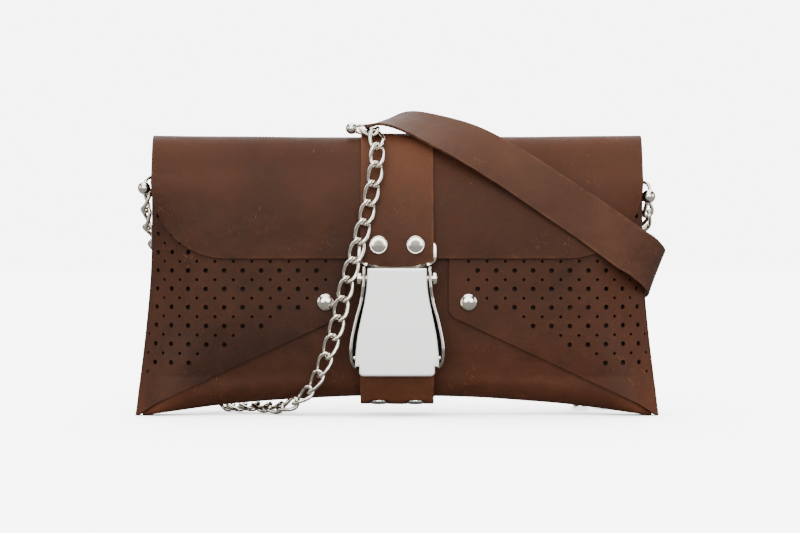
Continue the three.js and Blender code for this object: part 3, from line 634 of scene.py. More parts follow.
def punched_sheet():
    """Cells of half a pitch over the right wing, each plain or with a round hole in it."""
    half = HOLE_PITCH / 2
    quarter = RIM // 4
    points, faces = [], []

    def ring(s, z, shape):
        start = len(points)
        points.extend(on_wing(s + a, z + b) for a, b in shape)
        return list(range(start, start + RIM))

    square = [(-0.5 + k / quarter, -0.5) for k in range(quarter)]
    square += [(0.5, -0.5 + k / quarter) for k in range(quarter)]
    square += [(0.5 - k / quarter, 0.5) for k in range(quarter)]
    square += [(-0.5, 0.5 - k / quarter) for k in range(quarter)]
    turns = [math.atan2(b, a) for a, b in square]
    for i in CELLS_ROUND:
        for j in CELLS_UP:
            s, z = FIRST_HOLE[0] + i * half, FIRST_HOLE[1] + j * half
            if s - half / 2 > flat_half(z - half / 2) + (FOLD_END + 1) * (1 + WING_LIFT / SIDE_RADIUS):
                continue
            radius = hole_radius(s, z) if (i + j) % 2 == 0 else 0.0
            if radius:
                outer = ring(s, z, [(a * half, b * half) for a, b in square])
                for size in (radius * HOLE_MARGIN, radius):
                    inner = ring(s, z, [(size * math.cos(t), size * math.sin(t)) for t in turns])
                    faces.extend(closed_strip(outer, inner))
                    outer = inner
                continue
            start = len(points)
            for b in range(quarter + 1):
                for a in range(quarter + 1):
                    points.append(on_wing(s + (a / quarter - 0.5) * half, z + (b / quarter - 0.5) * half))
            cell = grid_faces(quarter + 1, quarter + 1)
            faces.extend(tuple(start + v for v in face) for face in cell)
    return points, faces


def trim_wing(tools):
    """Cuts the lattice to the wing's outline with straight strokes; the round corner takes eight."""
    across, height, radius = WING_CORNER
    slope = math.atan(WING_SLOPE)
    strokes = [(Vector((0, 0, WING_TOP)), Vector((0, 0, 1)))]
    for turn in steps(math.pi, 1.5 * math.pi - slope, 8):
        out = Vector((math.cos(turn), 0, math.sin(turn)))
        strokes.append((Vector((across, 0, height)) + out * radius, out))
    for place, out in strokes:
        bmesh.ops.bisect_plane(
            tools,
            geom=tools.verts[:] + tools.edges[:] + tools.faces[:],
            dist=1e-4,
            plane_co=place,
            plane_no=out,
            clear_outer=True,
        )


def build_wing(side, name, points, faces):
    mesh = bpy.data.meshes.new(name)
    mesh.from_pydata(points, [], faces)
    tools = bmesh.new()
    tools.from_mesh(mesh)
    bmesh.ops.remove_doubles(tools, verts=tools.verts[:], dist=0.02)
    bmesh.ops.dissolve_degenerate(tools, dist=0.01, edges=tools.edges[:])
    trim_wing(tools)
    for vertex in tools.verts:
        here = vertex.co
        near_corner = ease(here.x, 162, 178) * ease(16 - (here.z - wing_low_edge(here.x)), 0, 16)
        vertex.co = in_scene((side * here.x, here.y, here.z - CORNER_DROP * near_corner))
    if side < 0:
        bmesh.ops.reverse_faces(tools, faces=tools.faces[:])
    tools.to_mesh(mesh)
    tools.free()
    mesh.polygons.foreach_set("use_smooth", [True] * len(mesh.polygons))
    wing = put_in_scene(name, mesh)
    overall, outer, corner, corner_from, low = WING_TONES[side]

    def tone(p):
        across = abs(p.x)
        return (
            0.13
            + outer * ease(across, 140, 172)
            + corner * ease(across, corner_from, 180) * ease(50 - p.z, 0, 50)
            + overall
            - low * ease(90 - p.z, 0, 60) * ease(176 - across, 0, 14)
        )

    tone_skin(wing, tone)
    wear_edges(wing, 0.8, 0.25)
    cut_leather(wing, body_hide, edge=0.3)
    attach(wing, "bag")
    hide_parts("wing_left" if side < 0 else "wing_right")


wing_points, wing_faces = punched_sheet()
build_wing(-1, "left_wing", wing_points, wing_faces)
build_wing(1, "right_wing", wing_points, wing_faces)

# ---- The flap ----
# The back's hide carries on over the top in a round fold and hangs down the front, a little proud of the
# wings. Its two lower corners are cut to a large radius.
FLAP_LIFT = 5.6  # its grain side lies this far outside the pillow, in front
FLAP_TOP = 192.2
FLAP_PEAK = 1.2  # the top is this much higher at its ends
FLAP_THIN = 9.5  # the fold's back half is at least this deep at its ends
FLAP_FRONT = panel_depth(BODY_TOP) + FLAP_LIFT
FLAP_RISE = FLAP_TOP - BODY_TOP
TOP_SLOPE = 0.35  # the faces lean out this much where the fold begins


def set_back(x):
    """How far the body's side curve has fallen back at x."""
    run = max(0.0, abs(x) - flat_half(BODY_TOP))
    return SIDE_RADIUS - math.sqrt(SIDE_RADIUS ** 2 - run ** 2)


def flap_low(x):
    """The height of the flap's lower edge, with its round corners."""
    beyond = min(FLAP_CORNER, max(0.0, abs(x) - (FLAP_HALF - FLAP_CORNER)))
    return FLAP_EDGE + FLAP_CORNER - math.sqrt(FLAP_CORNER ** 2 - beyond ** 2)


def fold_curve(depth, rise, t):
    """The fold over the top, from the face (t 0) to its crest (t 1): how far out and how far up."""
    low = 0.44 * rise
    knots = [(depth, 0.0), (depth - TOP_SLOPE * low, low), (depth * 0.66, rise), (0.0, rise)]
    weights = [(1 - t) ** 3, 3 * t * (1 - t) ** 2, 3 * t * t * (1 - t), t ** 3]
    return [sum(w * k[i] for w, k in zip(weights, knots)) for i in (0, 1)]


def flap_face(c, r):
    """c runs from right to left; r runs up the back of the fold (0 to 1), down its front (to 2) and down
    the face (to 3)."""
    x = -c * FLAP_HALF
    rise = FLAP_RISE + FLAP_PEAK * c * c
    if r < 1:
        left = max(0.2, 1 - set_back(x) / SIDE_BACK)
        back = max(FLAP_THIN, panel_depth(BODY_TOP) * left ** 0.6 + WING_LIFT)
        out, up = fold_curve(back, rise, r)
        return Vector((x, out, BODY_TOP + up))
    if r < 2:
        out, up = fold_curve(FLAP_FRONT, rise, 2 - r)
        return Vector((x, -out, BODY_TOP + up))
    z = lerp(BODY_TOP, flap_low(x), r - 2)
    curve = 0.45 * set_back(x) * ease(BODY_TOP - z, 0, 40)
    return Vector((x, -(panel_depth(z) + FLAP_LIFT - curve), z))


def build_flap():
    corner = [
        (FLAP_HALF - FLAP_CORNER + FLAP_CORNER * math.sin(t)) / FLAP_HALF
        for t in steps(0, math.pi / 2, 26)
    ]
    columns = both_ways(steps(0, corner[0], 40) + corner[1:])
    rows = steps(0, 1, 18) + steps(1, 2, 24)[1:] + steps(2, 3, 34)[1:]
    points = skin_points(columns, rows, flap_face, lambda r: 0.0)
    flap = new_piece("bag_flap", points, grid_faces(len(columns), len(rows)))

    def tone(p):
        # painted sheen: lighter along the crest and across the round of the fold, where it faces up to the
        # light
        crest = ease(p.z, 172, 190) * ease(8 - p.y, 0, 20)
        right = ease(p.x, -60, 170)
        dry = ease(26 - abs(p.z - 170 - 0.03 * p.x), 0, 26)
        return 0.14 + 0.14 * crest + 0.13 * right + 0.09 * dry

    tone_skin(flap, tone)
    wear_edges(flap, 2.2)
    cut_leather(flap, body_hide)
    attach(flap, "bag")
    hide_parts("flap")


build_flap()

# ---- The bands ----
# Two 50 mm straps of chestnut hide. The upper one starts over the buckle's tongue and goes over the flap
# and down the back. The lower one turns round the buckle's bar, goes under the bag and laps it behind.
GAP = 0.4  # between one layer and the next
BAND_HALF = 25.0
UPPER_LOW_EDGE, LOW_EDGE_CURVE = 102.1, 3.7  # the upper band's end, and how much its corners are cut back
EVEN_FROM = 112  # that curve has evened out by this height
BAR = (-30.0, 40.0, 2.25)  # depth, height and radius of the buckle's bar
UNDER = {"front": 15.9, "back": 19.2, "height": 28.2, "rise": 19.2}  # the sweep under the bag
UNDER_SAG = 0.8  # the hide hangs this much below its rivets' seats
UNDER_SQUARE = 0.75  # the front half of the lower band's sweep is this square; 1 would leave it round
RIVET_ACROSS = 12.6
RIVET_TURN = 0.42 * math.pi  # how far round that sweep its rivets are
RIVET_SUNK, RIVET_SEAT = 1.1, 8.6  # how deep they press into the hide, and how far round they flatten it
EDGE_STAIN = ((0.012, 0.006, 0.004), (0.11, 0.042, 0.018))

band_hide = leather(
    "band",
    ((0.0240, 0.0088, 0.0052), (0.128, 0.044, 0.0195), (0.30, 0.12, 0.045)),
    ((0.05, 0.024, 0.015), (0.12, 0.06, 0.036)),
    EDGE_STAIN,
)


def band_gap(z):
    """How far the upper band stands off the flap: further over the tongue."""
    return lerp(GAP + 2.1, GAP, ease(z, 121, 150))


def band_front(z):
    return -(panel_depth(z) + FLAP_LIFT + band_gap(z) + LEATHER)


def back_face(z):
    return panel_depth(z) + WING_LIFT


def back_run(heights, off):
    """Places up the bag's back, this far off it."""
    return [(back_face(z) + off, z) for z in heights]


def arc_points(y, z, rise, low, high, count):
    return [(y * math.cos(t), z + rise * math.sin(t)) for t in steps(low, high, count)]


def under_point(turn, out=0.0):
    """A place on the front half of the lower band's sweep, this far outside the middle of the hide."""
    y = -(UNDER["front"] + out) * math.cos(turn) ** UNDER_SQUARE
    return y, UNDER["height"] - (UNDER["rise"] + out) * math.sin(turn) ** UNDER_SQUARE


def under_rivet(x):
    """Where a rivet presses into the sweep, and which way it faces."""
    face = under_point(RIVET_TURN, LEATHER / 2)
    after = under_point(RIVET_TURN + 0.01, LEATHER / 2)
    outward = Vector((0, after[1] - face[1], face[0] - after[0])).normalized()
    return Vector((x, *face)) - outward * RIVET_SUNK, outward


def even_path(path, count):
    """A smooth curve through a band's few places, cut into even steps."""
    def at(k, t):
        p = [path[min(max(k + d, 0), len(path) - 1)] for d in (-1, 0, 1, 2)]
        return tuple(
            0.5 * (2 * p[1][i] + (p[2][i] - p[0][i]) * t
                   + (2 * p[0][i] - 5 * p[1][i] + 4 * p[2][i] - p[3][i]) * t * t
                   + (3 * p[1][i] - p[0][i] - 3 * p[2][i] + p[3][i]) * t ** 3)
            for i in (0, 1)
        )
    fine = [at(k, t / 8) for k in range(len(path) - 1) for t in range(8)] + [path[-1]]
    length = [0.0]
    for a, b in zip(fine, fine[1:]):
        length.append(length[-1] + math.dist(a, b))
    even, k = [], 0
    for want in steps(0, length[-1], count):
        while k < len(fine) - 2 and length[k + 1] < want:
            k += 1
        share = (want - length[k]) / max(1e-9, length[k + 1] - length[k])
        even.append(tuple(lerp(fine[k][i], fine[k + 1][i], share) for i in (0, 1)))
    return even


def band_skin(path, half, side=1, start_edge=None):
    """The grain side of a band whose middle follows the path; side says which side of the path that is,
    and start_edge gives its first end's height at x."""
    wide = 24
    points = []
    for k, (y, z) in enumerate(path):
        before, after = path[max(0, k - 1)], path[min(len(path) - 1, k + 1)]
        length = math.dist(before, after)
        out = (side * (before[1] - after[1]) / length, side * (after[0] - before[0]) / length)
        for x in steps(-half, half, wide):
            height = z
            if start_edge is not None and z < EVEN_FROM and y < 0:
                share = (z - UPPER_LOW_EDGE) / (EVEN_FROM - UPPER_LOW_EDGE)
                height = lerp(start_edge(x), EVEN_FROM, share)
            here = Vector((x, y + out[0] * LEATHER / 2, height + out[1] * LEATHER / 2))
            crown = 0.25 * (1 - (x / half) ** 2) - 0.15
            push = crown + ripple(here, 30.0, 0.15)
            points.append(here + Vector((0, out[0], out[1])) * push)
    faces = grid_faces(wide + 1, len(path))
    return points, faces if side > 0 else [tuple(reversed(face)) for face in faces]


def finish_band(band, node, tone):
    tone_skin(band, tone)
    wear_edges(band, 2.0)
    cut_leather(band, band_hide)
    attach(band, "bag")
    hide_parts(node)


def build_upper_band():
    over = GAP + LEATHER / 2
    heights = (UPPER_LOW_EDGE, EVEN_FROM, 121, 130, 140, 150)
    front = [(band_front(z) + LEATHER / 2, z) for z in heights]
    crest = [fold_curve(FLAP_FRONT + over, FLAP_RISE + over, t) for t in steps(0, 1, 10)]
    rear = [fold_curve(back_face(BODY_TOP) + over, FLAP_RISE + over, t) for t in steps(1, 0, 10)[1:]]
    crest = [(-out, BODY_TOP + up) for out, up in crest]
    rear = [(out, BODY_TOP + up) for out, up in rear]
    down = back_run((140, 115, 86), over)
    path = even_path(front + crest + rear + down, 150)

    def low_edge(x):
        return UPPER_LOW_EDGE + LOW_EDGE_CURVE * (x / BAND_HALF) ** 2

    def tone(p):
        # painted sheen: lighter towards the top, where the band turns over the fold under the light from
        # above
        crest = 0.34 * ease(p.z, 128, 198) + 0.08 * ease(p.x, -20, 25)
        return 0.13 + crest - 0.03 * ease(128 - p.z, 0, 20)

    points, faces = band_skin(path, BAND_HALF, 1, low_edge)
    finish_band(new_piece("upper_band", points, faces), "flap_band", tone)


def build_lower_band():
    depth, height, radius = BAR
    wrap = radius + GAP + LEATHER / 2
    over = GAP + LEATHER / 2
    tail = [(depth - wrap, 30.5), (depth - wrap, 36)]
    over_bar = [(depth + y, z) for y, z in arc_points(-wrap, height, wrap, 0, math.pi, 6)]
    drop = [(depth + wrap, 33), (depth + wrap + 1.4, 27.5), (depth + wrap + 5.2, 21.8)]
    rise, low = -UNDER["rise"], UNDER["height"]
    sweep = [under_point(turn) for turn in steps(math.pi * 0.24, math.pi / 2, 4)]
    sweep = [(y, z - UNDER_SAG * ease(20 - z, 0, 8)) for y, z in sweep]
    sweep += arc_points(-UNDER["back"], low, rise - UNDER_SAG, math.pi / 2, math.pi, 6)[1:]
    up = back_run((34, 45, 60, 74), over) + back_run((80,), over + 1.6)
    lap = back_run((84, 95, 107), over + (LEATHER + GAP))
    path = even_path(tail + over_bar + drop + sweep + up + lap, 150)
    points, faces = band_skin(path, BAND_HALF + 0.3, -1)
    for seat, outward in (under_rivet(-RIVET_ACROSS), under_rivet(RIVET_ACROSS)):
        for point in points:
            high = (point - seat).dot(outward)
            away = (point - seat - outward * high).length
            if point.z < 20:
                point -= outward * max(0.0, high) * ease(RIVET_SEAT - away, 0, 2.2)
    finish_band(
        new_piece("lower_band", points, faces),
        "base_band",
        lambda p: 0.42 + 0.24 * ease(30 - p.z, 0, 24),
    )


build_upper_band()
build_lower_band()

# ---- The rivets and studs ----
# Caps of nickel-plated brass, turned on a lathe and hammered onto their posts. Six flat ones hold the
# bands to each other, and a domed one holds the point of each wing to the front.
CAP_GAP = 0.3  # the cap sits this far off the hide
FLAT_CAP = [
    (6.0, 0.0), (6.2, 0.12), (6.25, 0.35), (6.23, 0.75), (6.12, 1.05), (5.92, 1.25), (5.7, 1.3),
    (5.5, 1.24), (5.35, 1.17), (5.15, 1.19), (4.9, 1.25), (4.0, 1.38), (2.2, 1.48), (0.0, 1.52),
]
DOME_CAP = [
    (5.85, 0.0), (6.05, 0.12), (6.1, 0.35), (6.05, 0.62), (5.9, 0.95), (5.6, 1.35), (5.1, 1.8),
    (4.4, 2.25), (3.5, 2.65), (2.4, 2.95), (1.2, 3.13), (0.0, 3.2),
]


def plated_metal(name, colour, shade, haze_depth, uneven, rub):
    """Nickel plate: a bright mirror with a faint haze, fine polishing marks and slight tarnish."""
    material, tree, shader = start_finish(name)
    tarnish = speckle(tree, 90.0, 4.0, 0.6)
    haze = speckle(tree, 420.0, 4.0, 0.6)
    polish = speckle(tree, 2600.0, 3.0, 0.7)
    dulled = ranged(tree, tarnish, 0.35, 0.7, 0.0, 1.0)
    plug(tree, shader, {
        "Base Color": mixed(tree, dulled, colour, shade),
        "Roughness": spread(tree, haze, haze_depth * (1 - uneven), haze_depth * (1 + uneven)),
        "Metallic": 1.0,
    })
    raise_grain(tree, shader, [(tarnish, rub * 12), (polish, rub)])
    return material


def turned(profile, seat, outward, segments=64):
    """A solid of revolution: radius and height pairs from one end of its axis to the other."""
    axis = outward.normalized()
    side = axis.orthogonal().normalized()
    other = axis.cross(side)
    points = [seat + axis * profile[0][1], seat + axis * profile[-1][1]]
    rings = []
    for radius, height in profile:
        if radius > 0:
            rings.append(len(points))
            middle = seat + axis * height
            for turn in steps(0, 2 * math.pi, segments)[:-1]:
                points.append(middle + (side * math.cos(turn) + other * math.sin(turn)) * radius)
    faces = []
    for k in range(segments):
        on = (k + 1) % segments
        faces.append((0, rings[0] + on, rings[0] + k))
        faces.append((1, rings[-1] + k, rings[-1] + on))
        faces.extend((low + k, low + on, high + on, high + k) for low, high in zip(rings, rings[1:]))
    return points, faces


def hard_piece(name, shells, crisp=38.0):
    """One piece from closed shells, faces outwards, smooth except where it turns by more than `crisp`."""
    points, faces = [], []
    for shell_points, shell_faces in shells:
        faces.extend(tuple(len(points) + v for v in face) for face in shell_faces)
        points.extend(shell_points)
    piece = new_piece(name, points, faces)
    tools = bmesh.new()
    tools.from_mesh(piece.data)
    bmesh.ops.recalc_face_normals(tools, faces=tools.faces[:])
    tools.to_mesh(piece.data)
    tools.free()
    piece.data.set_sharp_from_angle(angle=math.radians(crisp))
    return piece


def fit_metal(piece, finish, nodes, body="bag"):
    piece.data.materials.append(finish)
    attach(piece, body)
    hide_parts(*nodes)


polished_nickel = plated_metal(
    "polished_nickel", (0.82, 0.77, 0.68), (0.70, 0.64, 0.54), 0.10, 0.35, 2e-6
)


def set_cap(name, profile, face, outward, node):
    seat = face + outward.normalized() * CAP_GAP
    fit_metal(hard_piece(name, [turned(profile, seat, outward)], 60.0), polished_nickel, [node])


UPPER_RIVET, BACK_RIVET = 117.1, 97  # heights


def set_rivets():
    for side, name in ((-1, "left"), (1, "right")):
        x = side * RIVET_ACROSS
        high = Vector((x, band_front(UPPER_RIVET), UPPER_RIVET))
        behind = Vector((x, back_face(BACK_RIVET) + 2 * (GAP + LEATHER) + GAP, BACK_RIVET))
        on_point = Vector((side * STUD_AT[0], -(panel_depth(STUD_AT[1]) + WING_LIFT), STUD_AT[1]))
        set_cap(f"flap_rivet_{name}", FLAT_CAP, high, Vector((0, -1, 0)), f"rivet_flap_{name}")
        set_cap(f"base_rivet_{name}", FLAT_CAP, *under_rivet(x), f"rivet_base_{name}")
        set_cap(f"back_rivet_{name}", FLAT_CAP, behind, Vector((0, 1, 0)), f"rivet_back_{name}")
        set_cap(f"wing_stud_{name}", DOME_CAP, on_point, Vector((0, -1, 0)), f"stud_{name}")


set_rivets()

# ---- The tongue ----
# A flat plate of chromed steel, pressed out with a window for the lever's lip. Its wide end is riveted
# behind the upper band and its narrow end goes into the buckle.
TONGUE_BACK, TONGUE_FRONT = -25.65, -27.25


def eased_outline(corners):
    """A closed outline of (across, up, reach) corners, each rounded off over `reach` to either side."""
    outline = []
    for k, (u, v, reach) in enumerate(corners):
        here = Vector((u, v))
        before = Vector(corners[k - 1][:2]) - here
        after = Vector(corners[(k + 1) % len(corners)][:2]) - here
        start = here + before * min(0.49, reach / before.length)
        end = here + after * min(0.49, reach / after.length)
        for t in steps(0, 1, 7):
            outline.append(start.lerp(here, t).lerp(here.lerp(end, t), t))
    return outline


def both_sides(right):
    """The right side's corners from top to bottom, then the left side's back up again."""
    return right + [(-u, v, reach) for u, v, reach in reversed(right)]


def inward_turns(outline):
    """The direction into the plate at each place of its outline."""
    ahead = outline[1:] + outline[:1]
    area = sum(a.x * b.y - b.x * a.y for a, b in zip(outline, ahead))
    turns = []
    for k, after in enumerate(ahead):
        along = after - outline[k - 1]
        turns.append(Vector((-along.y, along.x)).normalized() * math.copysign(1, area))
    return turns


def tube_faces(wide, rows):
    """The sides of a tube; its places run round each row in turn."""
    faces = []
    for low in range(0, wide * (rows - 1), wide):
        faces.extend(closed_strip(range(low, low + wide), range(low + wide, low + 2 * wide)))
    return faces


def plate_shell(outline, back, front, shoulder, window=()):
    """A plate facing forward; its front edge is rounded by the shoulder's pairs of inset and drop."""
    turns = inward_turns(outline)
    rims = [[Vector((p.x, back, p.y)) for p in outline]]
    for inset, drop in shoulder:
        inner = [(p.x + n.x * inset, p.y + n.y * inset) for p, n in zip(outline, turns)]
        rims.append([Vector((u, front + drop, v)) for u, v in inner])
    points = [p for rim in rims for p in rim]
    count = len(outline)
    faces = tube_faces(count, len(rims))
    walls = []
    for rim, first in ((rims[0], 0), (rims[-1], len(points) - count)):
        numbers = list(range(first, first + count))
        loops = [[Vector((p.x, p.z, 0)) for p in rim]]
        if window:
            walls.append(list(range(len(points), len(points) + len(window))))
            numbers += walls[-1]
            loops.append([Vector((p.x, p.y, 0)) for p in window])
            points.extend(Vector((p.x, rim[0].y, p.y)) for p in window)
        faces.extend(tuple(numbers[k] for k in face) for face in tessellate_polygon(loops))
    if window:
        rear, fore = walls
        faces.extend((rear[k - 1], rear[k], fore[k], fore[k - 1]) for k in range(len(window)))
    return points, faces


def build_tongue():
    outline = eased_outline(both_sides([
        (24.0, 119.5, 1.2), (26.6, 117.7, 1.5), (27.0, 114.0, 1.5), (27.0, 107.0, 2.0),
        (24.6, 104.3, 1.6), (20.4, 102.4, 1.5), (19.0, 99.0, 1.5), (19.0, 74.0, 1.5), (14.0, 70.0, 1.5),
    ]))
    window = eased_outline([(-9.6, 83.4, 1.0), (9.6, 83.4, 1.0), (9.6, 90.6, 1.0), (-9.6, 90.6, 1.0)])
    shoulder = ((0.0, 0.5), (0.12, 0.18), (0.45, 0.0))
    shell = plate_shell(outline, TONGUE_BACK, TONGUE_FRONT, shoulder, window)
    fit_metal(hard_piece("buckle_tongue", [shell]), polished_nickel, ["tongue"])


build_tongue()

# ---- The buckle's housing, pin and bar ----
# The housing is one steel pressing, a floor plate with a curved cheek along each side, chromed outside
# and dull inside. A pin with flat heads carries the lever, and the lower band turns round a plain bar.
CHEEK = 2.2  # how thick it is
HOUSING_SIDE = [
    (29.0, 33.4), (31.0, 36.0), (32.3, 42.0), (31.9, 51.0), (30.2, 60.0),
    (28.2, 68.5), (25.8, 77.0), (24.3, 85.6), (23.4, 94.0), (23.4, 102.3),
]  # half width and height
HOUSING_FRONT = [
    (33.4, -32.4), (38.5, -34.5), (46.0, -37.4), (81.0, -37.4), (89.0, -38.9), (98.5, -38.9),
    (102.3, -37.1),
]  # height and depth
HOUSING_BACK, HOUSING_FLOOR = -23.2, -24.9
CHEEK_NOSE = [
    (0.0, 0.75), (0.12, 0.3), (0.4, 0.05), (0.72, 0.0), (0.98, 0.22), (1.1, 0.5), (1.25, 0.5),
    (1.4, 0.22), (1.65, 0.08), (1.95, 0.2), (2.2, 0.7),
]  # inward from its outer face, and back from its front edge: two lips with a groove between them
PIN_AT = (-35.0, 94.2)  # depth and height
PIN_RADIUS = 2.0
PIN_HEAD = [
    (0.0, -27.1), (3.6, -27.1), (4.2, -26.95), (4.45, -26.6), (4.5, -26.1), (4.5, -25.0), (4.4, -24.5),
    (4.1, -24.3),
]  # radius, and place across the bag
BAR_HALF = 29.7


def between(rows, at):
    """A value read off rows of (position, value)."""
    for (a, first), (b, second) in zip(rows, rows[1:]):
        if at <= b:
            return lerp(first, second, ease(at, a, b))
    return rows[-1][1]


def cheek_shell(side):
    points = []
    path = even_path(HOUSING_SIDE, 90)
    for half, z in path:
        front = between(HOUSING_FRONT, z)
        loop = [(0.0, HOUSING_BACK)] + [(inset, front + drop) for inset, drop in CHEEK_NOSE]
        loop.append((CHEEK, HOUSING_BACK))
        points.extend(Vector((side * (half - inset), y, z)) for inset, y in loop)
    wide = len(CHEEK_NOSE) + 2
    ends = [tuple(range(wide)), tuple(range(len(points) - wide, len(points)))]
    return points, ends + tube_faces(wide, len(path))


dull_steel = plated_metal(
    "dull_steel", (0.030, 0.028, 0.026), (0.022, 0.020, 0.019), 0.6, 0.1, 1e-6
)


def cross_rod(name, end, depth, height, node):
    """A round rod across the buckle, the same at both ends; `end` is its left end's profile."""
    profile = end + [(r, -x) for r, x in reversed(end)]
    shell = turned(profile, Vector((0, depth, height)), Vector((1, 0, 0)), 48)
    fit_metal(hard_piece(name, [shell]), polished_nickel, [node])


def build_buckle():
    right = [(half - 0.4, z, 2.0) for half, z in reversed(HOUSING_SIDE)]
    outline = eased_outline(both_sides(right))
    floor = plate_shell(outline, HOUSING_BACK, HOUSING_FLOOR, ((0.0, 0.2), (0.2, 0.0)))
    housing = hard_piece("buckle_frame", [floor, cheek_shell(-1), cheek_shell(1)])
    fit_metal(housing, polished_nickel, ["buckle_housing"])
    housing.data.materials.append(dull_steel)
    for face in housing.data.polygons:
        middle = in_bag(face.center)
        inward = face.normal.x * (1 if middle.x < 0 else -1) > 0.7
        if inward or (face.normal.y < -0.7 and middle.y > HOUSING_FLOOR - 0.5):
            face.material_index = 1
    cross_rod("hinge_pin", PIN_HEAD + [(PIN_RADIUS, PIN_HEAD[-1][1])], *PIN_AT, "lever_pin")
    depth, height, radius = BAR
    rod = [(0.0, -BAR_HALF), (radius - 0.3, -BAR_HALF), (radius, 0.3 - BAR_HALF)]
    cross_rod("turning_bar", rod, depth, height, "band_bar")


build_buckle()

# ---- The lever ----
# A cover plate with a satin nickel face and rounded edges. Two ears behind it turn on the pin, and a lip
# between them catches in the tongue's window.
LEVER_FRONT = -38.4
LEVER_THICK = 1.8
EAR_ACROSS, EAR_HALF = 16.5, 1.5
LIP_HALF = 9.0

satin_nickel = plated_metal(
    "satin_nickel", (0.985, 0.975, 0.955), (0.975, 0.965, 0.945), 0.58, 0.04, 3e-7
)


def side_plate(outline, low, high):
    """A plate that stands fore and aft, between two places across the bag; its outline is (depth, up)."""
    points, faces = plate_shell(eased_outline(outline), low, high, ((0.0, 0.0),))
    return [Vector((p.y, p.x, p.z)) for p in points], faces


def build_lever():
    outline = eased_outline(both_sides([
        (20.1, 101.2, 0.8), (20.4, 97.0, 2.0), (20.5, 90.0, 5.0), (21.6, 80.0, 5.0), (24.2, 68.0, 5.0),
        (26.9, 55.0, 5.0), (28.2, 42.0, 5.0), (28.5, 34.6, 0.5), (25.6, 34.6, 0.4), (25.6, 28.1, 3.4),
    ]))
    shoulder = ((0.0, 1.0), (0.08, 0.62), (0.28, 0.32), (0.65, 0.12), (1.2, 0.03), (1.9, 0.0))
    cover = plate_shell(outline, LEVER_FRONT + LEVER_THICK, LEVER_FRONT, shoulder)
    ear = [
        (-37.0, 99.5, 0.5), (-34.5, 98.2, 1.2), (-31.6, 96.6, 1.6), (-30.7, 94.2, 1.6),
        (-31.6, 91.8, 1.6), (-34.5, 88.5, 1.5), (-37.0, 86.0, 0.5),
    ]
    lip = [(-37.0, 87.0, 0.2), (-37.0, 89.0, 0.2), (-26.3, 89.0, 0.6), (-26.3, 87.0, 0.6)]
    ears = [side_plate(ear, x - EAR_HALF, x + EAR_HALF) for x in (-EAR_ACROSS, EAR_ACROSS)]
    shells = [cover, *ears, side_plate(lip, -LIP_HALF, LIP_HALF)]
    fit_metal(hard_piece("cover_lever", shells), satin_nickel, ["buckle_lever"], "lever")


build_lever()

# ---- The shoulder strap ----
# A plain strip of lighter chestnut hide, 32 mm wide. It springs up from its left end, twists a little as
# it falls across the bag's front, turns round the right side and ends behind.
STRAP_RUNGS = [
    (-22.5, 14, 199.1, -22.5, -17.5, 198.9),
    (-7, 15, 204.8, -10, -15, 200),
    (8, 12.5, 210.3, 4, -16, 195.5),
    (27, 2, 207.5, 22, -22, 186),
    (56, -12, 198.4, 41.3, -27, 174.9),
    (85, -20.5, 182.8, 67.3, -28, 159),
    (114, -26.5, 163.9, 96.3, -28.5, 139.3),
    (141, -27, 146.3, 122.3, -28, 121.6),
    (166.3, -25.5, 128.6, 149, -26, 102.3),
]  # its upper edge, then its lower edge, at each place along it
STRAP_HALF = 15.75
TURN_RADIUS, TURN_REACH, TURN_HEIGHT = 24.5, 107.3, 164.9
TURN_DROP = 0.25  # it falls by this share of its run as it goes round
TURN_AXIS = Vector((0.361, 0, 0.9326))
TURN_OUT = Vector((0.9326, 0, -0.361))
STRAP_END = ((14, 1.5), (30, 5))  # how far on from the turn, and how far back

strap_hide = (
    oiled_grain("strap_hide", (0.022, 0.0090, 0.0058), (0.108, 0.043, 0.0235), (0.24, 0.10, 0.045)),
    band_hide[1],
    burnished_edge("strap_edge", *EDGE_STAIN),
)


def turn_point(angle, shift):
    """A place on the leaning turn round the bag's side; shift is 1 at the upper edge, -1 at the lower."""
    scale = STRAP_HALF / math.hypot(1, TURN_DROP)
    at = angle + shift * scale * TURN_DROP / TURN_RADIUS
    bent = min(max(at, 0.0), math.pi)
    past = at - bent
    reach = TURN_REACH + TURN_RADIUS * math.sin(bent) + (1 if at < 0 else -1) * TURN_RADIUS * past
    along = TURN_HEIGHT - TURN_DROP * TURN_RADIUS * angle + shift * scale
    return Vector((0, -TURN_RADIUS * math.cos(bent), 0)) + TURN_OUT * reach + TURN_AXIS * along


def hermite(a, b, leave, arrive, t):
    """A cubic from a to b that leaves and arrives in the given directions."""
    return (
        a * (2 * t ** 3 - 3 * t * t + 1)
        + leave * (t ** 3 - 2 * t * t + t)
        + b * (3 * t * t - 2 * t ** 3)
        + arrive * (t ** 3 - t * t)
    )


def with_ends(points):
    """The points with one more beyond each end, so that a curve can reach the ends."""
    return [points[0] * 2 - points[1], *points, points[-1] * 2 - points[-2]]


def even_knots(points, share):
    """A smooth curve through points taken at even steps; share runs from 0 to 1."""
    place = min(1.0, max(0.0, share)) * (len(points) - 1)
    k = min(int(place), len(points) - 2)
    p = with_ends(points)[k:k + 4]
    return hermite(p[1], p[2], (p[2] - p[0]) / 2, (p[3] - p[1]) / 2, place - k)


